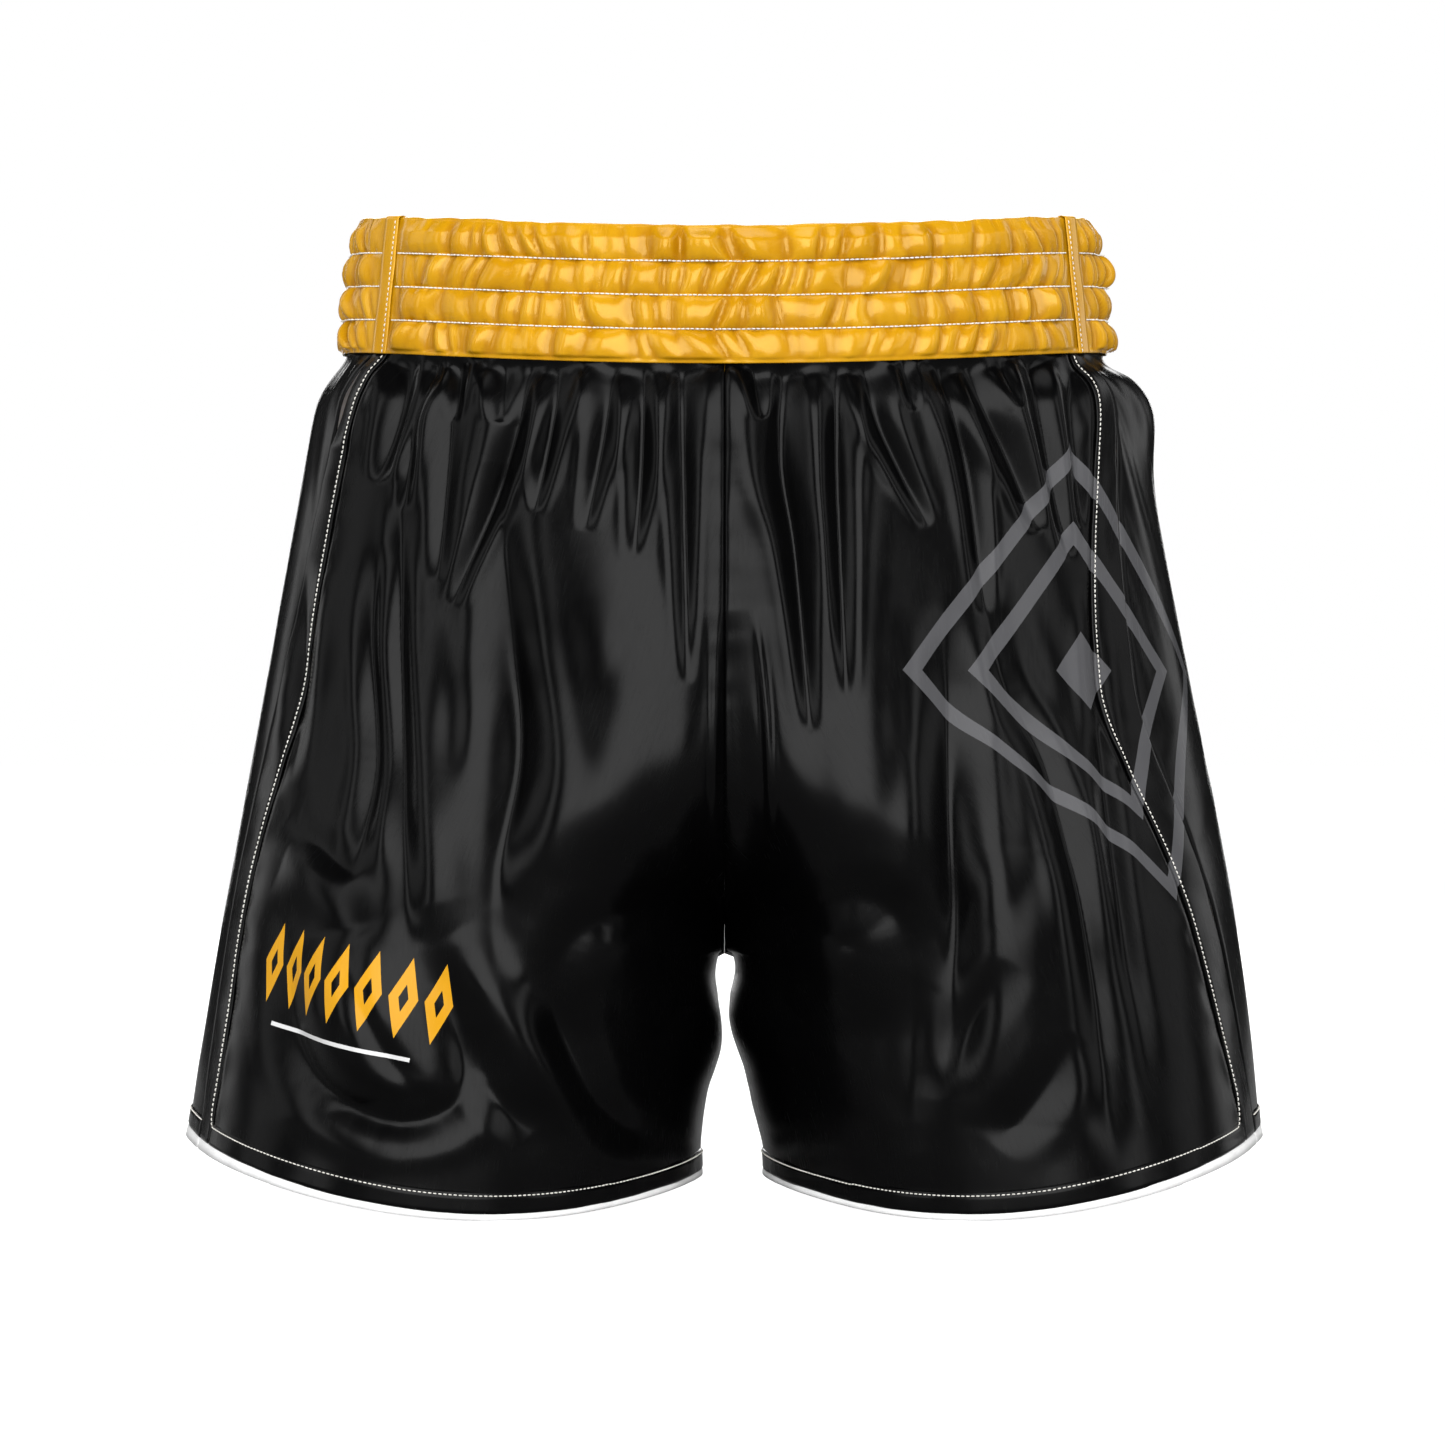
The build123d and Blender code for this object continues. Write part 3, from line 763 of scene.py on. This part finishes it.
def back_hem_stitch(side, looks):
    turn = np.linspace(-seam_turn(SIDE_HEM_Z, side) + 0.01, np.pi - 0.01, 400)
    z = hem_height(turn) + HEM_BAND_HEIGHT - STITCH_INSET
    points, normals = cloth_points(side, BACK, turn, z, TRIM_LIFT - 0.15)
    name = f"back_hem_stitch_{side}"
    return stitch_object(f"{name}_thread", [(points, normals)], [name], looks)


# ---------------------------------------------------------------- waistband
CASING_OUT = 2.2
CASING_IN = -2.0
ROW_PINCH = 0.95
CHANNEL_PUFF = 3.0
FOLD_DEPTH = 4.6
FOLD_RISE = 1.3
CREASE_SHADE_FULL = 0.7  # depth behind its neighbours at which the painted crease shade is darkest
BAND_RADIUS = 138.0  # for turning an angle into a length, on average
TAPE_RADIUS = 128.0  # the same beside the side tapes
TAPE_OUT = 3.0


def band_point(angle, height, offset):
    face = np.where(np.sin(angle) > 0, BACK, FRONT)
    dip = np.where(face == FRONT, FRONT_WAIST_DIP, BACK_WAIST_DIP)
    z = WAIST_SEAM_Z - dip * np.sin(angle) ** 2 + height
    taper = BAND_TAPER * np.clip(height, 0, BAND_HEIGHT)
    width, depth = WAIST_HALF_WIDTH - taper, WAIST_HALF_DEPTH - taper
    out = unit(np.stack([depth * np.cos(angle), width * np.sin(angle), 0 * angle + 0 * height], axis=-1))
    base = np.stack([width * np.cos(angle), depth * np.sin(angle), z + 0 * angle], axis=-1)
    return base + out * (offset + 0 * z)[..., None], out


def band_span(face):
    if face == FRONT:
        return -np.pi + TAPE_TURN["right"], -TAPE_TURN["left"]
    return -TAPE_TURN["left"], np.pi + TAPE_TURN["right"]


def channel_share(height):
    """Place across a channel, 0 to 1, and the channel's number from the bottom."""
    scaled = np.clip(height / CHANNEL_HEIGHT, 0, CHANNELS - 1e-6)
    number = np.floor(scaled)
    return scaled - number, number


def ruching(s, height, fade, seed):
    """How far the puffed and wrinkled channels stand out from the middle of the band."""
    share, number = channel_share(height)
    arch = np.sin(np.pi * np.clip(share, 0, 1))
    slant = 9 * noise(s / 18, number * 9.3, seed) * (share - 0.5)
    wander = 1.2 * noise(s / 12, share * 1.2 + number * 11, seed + 1)
    folds = billow((s + slant + wander) / 5.0, share * 0.22 + number * 7.7, seed + 2, 0.03)
    puckers = billow((s + 0.5 * slant) / 2.6, share * 0.6 + number * 5.1, seed + 3, 0.05)
    uneven = np.clip(0.95 + 0.7 * noise(s / 26, number * 3.7, seed + 4), 0.35, 1.5)
    body = CHANNEL_PUFF * arch**0.6 + (0.45 + 0.55 * arch**0.5) * FOLD_DEPTH * uneven * (folds - 0.3)
    body = body + (1.2 - arch) * 1.1 * puckers
    return ROW_PINCH + np.maximum(fade * body, 0)


def crease_shade_depth(offset, reach):
    """How far each point of a layer lies behind the mean of its neighbours along the row, 0 to 1, for the
    painted crease shade.
    """
    padded = np.pad(offset, ((0, 0), (reach, reach)), mode="edge")
    total = np.cumsum(np.pad(padded, ((0, 0), (1, 0))), axis=1)
    mean = (total[:, 2 * reach + 1 :] - total[:, : -2 * reach - 1]) / (2 * reach + 1)
    return np.clip((mean - offset) / CREASE_SHADE_FULL, 0, 1)


def tape_fade(angle, span):
    arc = np.minimum(angle - span[0], span[1] - angle) * TAPE_RADIUS
    return 1 - 0.82 * np.exp(-((np.maximum(arc - TAPE_WIDTH / 2, 0) / 7) ** 2))


def waistband(face, looks):
    """The casing: outer layer up over the top fold and down the inner layer."""
    span = band_span(face)
    length = (span[1] - span[0]) * BAND_RADIUS
    angle = np.linspace(span[0], span[1], int(length / 1.0 * DETAIL))[None, :]
    s = angle * BAND_RADIUS
    fade = tape_fade(angle, span)
    seed = 31 if face == FRONT else 47
    outer_h = np.linspace(0, BAND_HEIGHT, int(92 * DETAIL) + 8)[:, None]
    outer = ruching(s, outer_h, fade, seed)
    top_closing = smooth_step(outer_h, BAND_HEIGHT - 5.5, BAND_HEIGHT)
    outer = mix(outer, 1.3 + 0.5 * noise(s / 5, 0 * s, seed + 8), 0.55 * top_closing)
    lip = smooth_step(outer_h, 2.4, 1.2)
    outer = mix(outer, CASING_OUT + 0.3 * noise(s / 9, 0 * s, seed + 7), 0.8 * lip)
    inner_h = outer_h[::-2]
    share, number = channel_share(inner_h)
    inner = CASING_IN - 1.1 * np.sin(np.pi * share) ** 0.6
    inner = inner - 0.9 * billow(s / 7, share + number * 6.1, seed + 9) * fade
    bend = np.linspace(0, np.pi, 10)[1:-1, None]
    top_out, top_in = outer[-1:], inner[:1]
    fold = (top_out + top_in) / 2 + (top_out - top_in) / 2 * np.cos(bend)
    rise = FOLD_RISE + 0.5 * noise(s / 5.5, 0 * s + 3.3, seed + 12) * fade
    fold_h = BAND_HEIGHT + rise * np.sin(bend)
    height = np.concatenate([outer_h + 0 * s, fold_h + 0 * s, inner_h + 0 * s])
    offset = np.concatenate([outer + 0 * s, fold + 0 * s, inner + 0 * s])
    points, _ = band_point(angle + 0 * height, height, offset)
    along = np.cumsum(np.abs(np.diff(height[:, 0], prepend=height[0, 0])))[:, None]
    word = WORDS[face]
    obj = grid_object(f"waistband_{word}_satin", points, s, along, flip=False)
    # painted shade for the gold material, from how deep each point sits in a crease
    store_crease_shade(obj, crease_shade_depth(offset, max(2, int(6 * DETAIL))))
    nodes = [f"waistband_{word}", f"waistband_facing_{word}"]
    finish_sheet(obj, nodes, looks["gold"])
    thicken(obj, CASING_CLOTH)


def waist_rows(looks):
    """The stitch rows between the channels, in the CAD model's order from the top."""
    for row in range(1, CHANNELS):
        height = BAND_HEIGHT - row * CHANNEL_HEIGHT
        runs = []
        for face in (FRONT, BACK):
            first, last = band_span(face)
            edge = (TAPE_WIDTH / 2 + 0.4) / TAPE_RADIUS
            angle = np.linspace(first + edge, last - edge, 900)
            fade = tape_fade(angle, (first, last))
            seed = 31 if face == FRONT else 47
            skins = [ruching(angle * BAND_RADIUS, height + dz + 0 * angle, fade, seed) for dz in (-0.4, 0.4)]
            runs.append(band_point(angle, height + 0 * angle, np.maximum(*skins) + 0.12))
        name = f"waist_stitch_row_{row}"
        stitch_object(f"{name}_thread", runs, [name], looks, length=2.0, radius=0.34)


def side_tape(side, looks):
    half = TAPE_WIDTH / 2 / TAPE_RADIUS
    middle = -TAPE_TURN[side] if side == "left" else -np.pi + TAPE_TURN[side]
    across = np.linspace(-1, 1, 16)[None, :]
    angle = middle + half * across
    outer_h = np.linspace(0, BAND_HEIGHT, 90)[:, None]
    bend = np.linspace(0, np.pi, 9)[1:, None]
    outer = TAPE_OUT + 0.3 * noise(outer_h / 8, across / 2, 64) - 0.9 * np.abs(across) ** 7
    outer = outer - 0.25 * np.exp(-(((np.abs(across) - 0.72) / 0.1) ** 2))
    fold = (TAPE_OUT + CASING_IN) / 2 + (3.2 - CASING_IN) / 2 * np.cos(bend) - 0.6 * np.abs(across) ** 7
    inner_h = np.linspace(BAND_HEIGHT, 0, 60)[1:, None]
    inner = CASING_IN - 0.9 + 0 * inner_h + 0.6 * np.abs(across) ** 7
    height = np.concatenate([outer_h + 0 * across, BAND_HEIGHT + 1.9 * np.sin(bend) + 0 * across,
                             inner_h + 0 * across])
    offset = np.concatenate([outer, fold, inner])
    points, _ = band_point(angle + 0 * height, height, offset)
    along = np.arange(len(height))[:, None] * 0.7
    name = f"side_tape_{side}"
    obj = grid_object(f"{name}_satin", points, across * TAPE_WIDTH / 2, along)
    finish_sheet(obj, [name], looks["tape"])
    thicken(obj, CASING_CLOTH)
    front_edge = -0.72 * SIDES[side]
    at = middle + half * front_edge + 0 * outer_h[:, 0]
    row = band_point(at, outer_h[:, 0], TAPE_OUT + 0 * at)
    stitch_object(f"{name}_thread", [row], [], looks, length=1.5, radius=0.24)


# ---------------------------------------------------------------- materials
class Nodes:
    """Short names for building one node material."""

    def __init__(self, name):
        self.material = bpy.data.materials.new(name)
        self.material.use_nodes = True
        self.tree = self.material.node_tree
        self.shader = self.tree.nodes["Principled BSDF"]

    def add(self, kind, values=None, **settings):
        """A new node. Its values are plain values or links, by the socket's name or number."""
        node = self.tree.nodes.new(kind)
        for key, value in settings.items():
            setattr(node, key, value)
        for socket, value in (values or {}).items():
            self.put(node.inputs[socket], value)
        return node

    def put(self, socket, value):
        if isinstance(value, bpy.types.NodeSocket):
            self.tree.links.new(value, socket)
        else:
            socket.default_value = value

    def fix(self, name, value):
        """Sets a plain value on the shader itself."""
        self.shader.inputs[name].default_value = value

    def math(self, operation, *values):
        node = self.add("ShaderNodeMath", operation=operation)
        for socket, value in zip(node.inputs, values):
            self.put(socket, value)
        return node.outputs[0]

    def uv(self):
        return self.add("ShaderNodeUVMap", uv_map="cloth").outputs[0]

    def split(self, vector):
        node = self.add("ShaderNodeSeparateXYZ")
        self.put(node.inputs[0], vector)
        return node.outputs[0], node.outputs[1]

    def scaled(self, vector, x, y):
        return self.add("ShaderNodeMapping", {"Vector": vector, "Scale": (x, y, 1)}).outputs[0]

    def noise(self, vector, scale, detail=2.0, roughness=0.5):
        values = {"Vector": vector, "Scale": scale, "Detail": detail, "Roughness": roughness}
        return self.add("ShaderNodeTexNoise", values).outputs[0]

    def ramp(self, value, low, high, start=0.3, end=0.7):
        values = {"Value": value, "From Min": start, "From Max": end, "To Min": low, "To Max": high}
        return self.add("ShaderNodeMapRange", values).outputs[0]

    def blend(self, factor, first, second):
        values = {"Factor": factor, 6: first, 7: second}
        return self.add("ShaderNodeMix", values, data_type="RGBA").outputs[2]

    def bump(self, height, strength, distance, below=None):
        values = {"Height": height, "Strength": strength, "Distance": distance}
        if below is not None:
            values["Normal"] = below
        return self.add("ShaderNodeBump", values).outputs[0]


def weave_height(nodes, uv, pitch, lean=1.0):
    """Threads crossing at a small pitch, in metres, with the warp floating over the weft."""
    waves = []
    for direction, scale in (("X", 0.314 / pitch), ("Y", 0.314 / pitch * lean)):
        values = {"Vector": uv, "Scale": scale, "Distortion": 0.6}
        wave = nodes.add("ShaderNodeTexWave", values, wave_type="BANDS", bands_direction=direction)
        waves.append(wave.outputs[1])
    return nodes.math("ADD", nodes.math("MULTIPLY", waves[0], 0.7), nodes.math("MULTIPLY", waves[1], 0.3))


def satin_surface(nodes, roughness, variation):
    """Satin's uneven gloss and fine thread."""
    uv = nodes.uv()
    streaks = nodes.noise(nodes.scaled(uv, 1.0, 0.12), 900, 3)
    clouds = nodes.noise(uv, 26, 3)
    rough = nodes.math("ADD", nodes.ramp(clouds, roughness - variation, roughness + variation),
                       nodes.ramp(streaks, -0.03, 0.03))
    nodes.put(nodes.shader.inputs["Roughness"], rough)
    threads = nodes.bump(weave_height(nodes, uv, 0.00035, 0.5), 0.2, 0.00002)
    normal = nodes.bump(streaks, 0.15, 0.00003, threads)
    nodes.put(nodes.shader.inputs["Normal"], normal)
    return uv, clouds


BLACK = (0.0007, 0.0007, 0.0008, 1)
BLACK_WORN = (0.0013, 0.0013, 0.0014, 1)
GREY_PRINT = (0.066, 0.066, 0.070, 1)
GOLD_PRINT = (0.55, 0.265, 0.010, 1)
WHITE_PRINT = (0.6, 0.6, 0.6, 1)


def black_satin(name, motif=None):
    nodes = Nodes(name)
    uv, clouds = satin_surface(nodes, 0.25, 0.02)
    colour = nodes.blend(nodes.ramp(clouds, 0, 1), BLACK, BLACK_WORN)
    if motif:
        colour = motif(nodes, uv, colour)
    nodes.put(nodes.shader.inputs["Base Color"], colour)
    nodes.fix("Specular IOR Level", 0.1)
    return nodes.material


def lining_cloth():
    nodes = Nodes("lining_cloth")
    uv = nodes.uv()
    clouds = nodes.noise(uv, 60, 3)
    nodes.put(nodes.shader.inputs["Base Color"],
              nodes.blend(nodes.ramp(clouds, 0, 1), (0.40, 0.40, 0.41, 1), (0.52, 0.52, 0.53, 1)))
    nodes.put(nodes.shader.inputs["Normal"], nodes.bump(weave_height(nodes, uv, 0.0006), 0.4, 0.0001))
    nodes.put(nodes.shader.inputs["Roughness"], nodes.ramp(clouds, 0.75, 0.9))
    return nodes.material


def plain_cloth(name, dark, light, roughness, pitch, gloss=0.5):
    """A woven cloth with a soft mottle and visible threads."""
    nodes = Nodes(name)
    uv = nodes.uv()
    clouds = nodes.noise(uv, 70, 3)
    fine = nodes.noise(uv, 900, 2)
    mottle = nodes.ramp(nodes.math("ADD", nodes.math("MULTIPLY", clouds, 0.7),
                                   nodes.math("MULTIPLY", fine, 0.3)), 0, 1)
    nodes.put(nodes.shader.inputs["Base Color"], nodes.blend(mottle, dark, light))
    nodes.put(nodes.shader.inputs["Roughness"], nodes.ramp(clouds, roughness - 0.06, roughness + 0.06))
    nodes.put(nodes.shader.inputs["Normal"], nodes.bump(weave_height(nodes, uv, pitch), 0.35, 0.00012))
    nodes.fix("Specular IOR Level", gloss)
    return nodes.material


def gold_satin(name, shade):
    nodes = Nodes(name)
    uv, clouds = satin_surface(nodes, 0.24, 0.03)
    patches = nodes.noise(nodes.scaled(uv, 1.0, 0.5), 55, 3)
    mottle = nodes.ramp(patches, 0, 1, 0.35, 0.65)
    flat = nodes.blend(mottle, (0.44 * shade, 0.205 * shade, 0.001, 1),
                       (0.50 * shade, 0.25 * shade, 0.004, 1))
    # painted shade: the base colour goes to a deep gold in the ruching's creases, where shade falls
    painted_crease_shade = (0.34 * shade, 0.14 * shade, 0.001, 1)
    crease_shade = nodes.add("ShaderNodeAttribute", attribute_name="crease_shade").outputs["Fac"]
    nodes.put(nodes.shader.inputs["Base Color"],
              nodes.blend(nodes.math("MULTIPLY", crease_shade, 0.75), flat, painted_crease_shade))
    nodes.fix("Specular IOR Level", 0.55)
    nodes.fix("Specular Tint", (1.0, 0.88, 0.42, 1))
    return nodes.material


def elastic_webbing():
    return plain_cloth("elastic_webbing", (0.66, 0.66, 0.64, 1), (0.8, 0.8, 0.78, 1), 0.7, 0.0009)


def inside_band(nodes, value, centre, half):
    """1 where a value is within half of a centre."""
    return nodes.math("LESS_THAN", nodes.math("ABSOLUTE", nodes.math("SUBTRACT", value, centre)), half)


def diamond_motif(nodes, uv, colour):
    """Nested grey diamonds over the side seam, printed across all the pieces there."""
    across, up = nodes.split(uv)
    x = nodes.math("DIVIDE", nodes.math("SUBTRACT", across, 0.030), 0.088)
    y = nodes.math("DIVIDE", nodes.math("SUBTRACT", up, 0.236), 0.100)
    size = nodes.math("ADD", nodes.math("ABSOLUTE", x), nodes.math("ABSOLUTE", y))
    mask = nodes.math("LESS_THAN", size, 0.17)
    for ring, half in ((0.95, 0.052), (0.60, 0.052)):
        mask = nodes.math("MAXIMUM", mask, inside_band(nodes, size, ring, half))
    return nodes.blend(mask, colour, GREY_PRINT)


def turned(nodes, x, y, angle):
    """Coordinates turned by an angle."""
    cos, sin = math.cos(angle), math.sin(angle)
    across = nodes.math("ADD", nodes.math("MULTIPLY", x, cos), nodes.math("MULTIPLY", y, -sin))
    return across, nodes.math("ADD", nodes.math("MULTIPLY", x, sin), nodes.math("MULTIPLY", y, cos))


def lozenge_motif(nodes, uv, colour):
    """A slanted row of tall gold lozenges with a thin white line under it."""
    across, up = nodes.split(uv)
    from_middle = (nodes.math("SUBTRACT", across, 0.095), nodes.math("SUBTRACT", up, 0.101))
    x, y = turned(nodes, *from_middle, math.radians(11))
    pitch = 0.0145
    cell = nodes.math("ROUND", nodes.math("DIVIDE", x, pitch))
    local = nodes.math("ABSOLUTE", nodes.math("SUBTRACT", x, nodes.math("MULTIPLY", cell, pitch)))
    size = nodes.math("ADD", nodes.math("DIVIDE", local, 0.0060),
                      nodes.math("DIVIDE", nodes.math("ABSOLUTE", y), 0.0175))
    row = nodes.math("SUBTRACT", nodes.math("LESS_THAN", size, 1.0), nodes.math("LESS_THAN", size, 0.34))
    row = nodes.math("MULTIPLY", row, inside_band(nodes, cell, 0.0, 3.5))
    line = nodes.math("MULTIPLY", inside_band(nodes, y, -0.0255, 0.0009), inside_band(nodes, x, 0.0, 0.037))
    gold = nodes.blend(row, colour, GOLD_PRINT)
    return nodes.blend(line, gold, WHITE_PRINT)


def make_looks():
    looks = {
        "satin": black_satin("black_satin"),
        "lining": lining_cloth(),
        "gold": gold_satin("gold_satin", 1.0),
        "tape": gold_satin("gold_tape", 1.05),
        "facing": plain_cloth("white_facing", (0.66, 0.66, 0.66, 1), (0.82, 0.82, 0.82, 1), 0.8, 0.0005),
        "thread": plain_cloth("white_thread", (0.62, 0.60, 0.55, 1), (0.80, 0.78, 0.73, 1), 0.55, 0.0003),
        "satin_front_panel_right": black_satin("black_satin_lozenges", lozenge_motif),
    }
    diamonds = black_satin("black_satin_diamonds", diamond_motif)
    for name in ("front_panel_left", "side_trim_left", "back_panel_left"):
        looks["satin_" + name] = diamonds
    return looks


# ---------------------------------------------------------------- stage
def add_floor():
    """A pale floor, lit as a seamless white sweep where the camera sees it."""
    bpy.ops.mesh.primitive_plane_add(size=60)
    floor = bpy.context.object
    floor.name = "floor"
    nodes = Nodes("pale_floor")
    tree = nodes.tree
    nodes.fix("Base Color", (0.28, 0.28, 0.28, 1))
    nodes.fix("Roughness", 0.9)
    paper = nodes.add("ShaderNodeEmission", {"Color": (1, 1, 1, 1), "Strength": 1.0})
    seen = nodes.add("ShaderNodeLightPath")
    both = nodes.add("ShaderNodeAddShader")
    chosen = nodes.add("ShaderNodeMixShader")
    tree.links.new(nodes.shader.outputs[0], both.inputs[0])
    tree.links.new(paper.outputs[0], both.inputs[1])
    tree.links.new(seen.outputs["Is Camera Ray"], chosen.inputs[0])
    tree.links.new(nodes.shader.outputs[0], chosen.inputs[1])
    tree.links.new(both.outputs[0], chosen.inputs[2])
    tree.links.new(chosen.outputs[0], tree.nodes["Material Output"].inputs[0])
    floor.data.materials.append(nodes.material)


def add_light(name, place, target, width, height, power):
    data = bpy.data.lights.new(name, "AREA")
    data.shape = "RECTANGLE"
    data.size, data.size_y = width, height
    data.energy = power
    light = bpy.data.objects.new(name, data)
    bpy.context.collection.objects.link(light)
    light.location = place
    light.rotation_euler = (Vector(target) - Vector(place)).to_track_quat("-Z", "Y").to_euler()
    return light


def add_world():
    world = bpy.data.worlds.new("studio")
    world.use_nodes = True
    bpy.context.scene.world = world
    tree = world.node_tree
    backdrop = tree.nodes["Background"]
    backdrop.inputs[0].default_value = (1, 1, 1, 1)
    backdrop.inputs[1].default_value = 1.0
    ambient = tree.nodes.new("ShaderNodeBackground")
    ambient.inputs[0].default_value = (1, 1, 1, 1)
    ambient.inputs[1].default_value = 0.02
    path = tree.nodes.new("ShaderNodeLightPath")
    chosen = tree.nodes.new("ShaderNodeMixShader")
    tree.links.new(path.outputs["Is Camera Ray"], chosen.inputs[0])
    tree.links.new(ambient.outputs[0], chosen.inputs[1])
    tree.links.new(backdrop.outputs[0], chosen.inputs[2])
    tree.links.new(chosen.outputs[0], tree.nodes["World Output"].inputs[0])


CAMERA_DISTANCE = 3.0
CAMERA_HEIGHT = 0.2135
PICTURE_WIDTH = 0.6474  # metres across the picture at the garment's middle


def add_camera():
    data = bpy.data.cameras.new("camera")
    data.sensor_width = 36
    data.lens = 36 * CAMERA_DISTANCE / PICTURE_WIDTH
    camera = bpy.data.objects.new("camera", data)
    bpy.context.collection.objects.link(camera)
    camera.location = (-0.0009, -CAMERA_DISTANCE, CAMERA_HEIGHT)
    camera.rotation_euler = (math.pi / 2, 0, 0)
    bpy.context.scene.camera = camera


SOFTBOX_DISTANCE = 3.3
SOFTBOX_HEIGHT = 3.0
SOFTBOX_CENTRE_Z = 1.5
# Each softbox: its bearing from the front, width in metres and radiance. The dark gaps between them
# are what draws the folds of a black satin.
SOFTBOXES = {
    "front": (0, 3.6, 6.2),
    "left_shoulder": (57, 0.9, 3.6),
    "left": (90, 1.4, 1.2),
    "left_rear": (126, 1.0, 1.6),
    "back": (180, 2.0, 4.0),
    "right_rear": (-126, 1.0, 1.6),
    "right": (-90, 1.4, 1.2),
    "right_shoulder": (-57, 0.9, 3.6),
}


def add_studio():
    centre = (0, 0, 0.22)
    for name, (bearing, width, radiance) in SOFTBOXES.items():
        turn = math.radians(bearing)
        place = (SOFTBOX_DISTANCE * math.sin(turn), -SOFTBOX_DISTANCE * math.cos(turn), SOFTBOX_CENTRE_Z)
        power = radiance * math.pi * width * SOFTBOX_HEIGHT
        add_light(f"{name}_softbox", place, centre, width, SOFTBOX_HEIGHT, power)
    add_light("top_softbox", (0, 0, 2.6), centre, 1.6, 1.6, 20)


# ---------------------------------------------------------------- build
def build():
    looks = make_looks()
    for side in SIDES:
        side_trim(side, looks)
        front_topstitch(side, looks)
        back_hem_stitch(side, looks)
        side_tape(side, looks)
        for face in (FRONT, BACK):
            body_panel(side, face, looks)
            hem_band(side, face, looks)
            hem_facing(side, face, looks)
    for face in (FRONT, BACK):
        waistband(face, looks)
    waist_rows(looks)
    webbing = elastic_webbing()
    for number in range(1, CHANNELS + 1):
        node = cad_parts[f"elastic_{number}"]
        for holder in node.material_slots:
            holder.material = webbing


add_world()
add_camera()
add_floor()
add_studio()
bpy.context.scene.view_settings.view_transform = "Standard"
build()
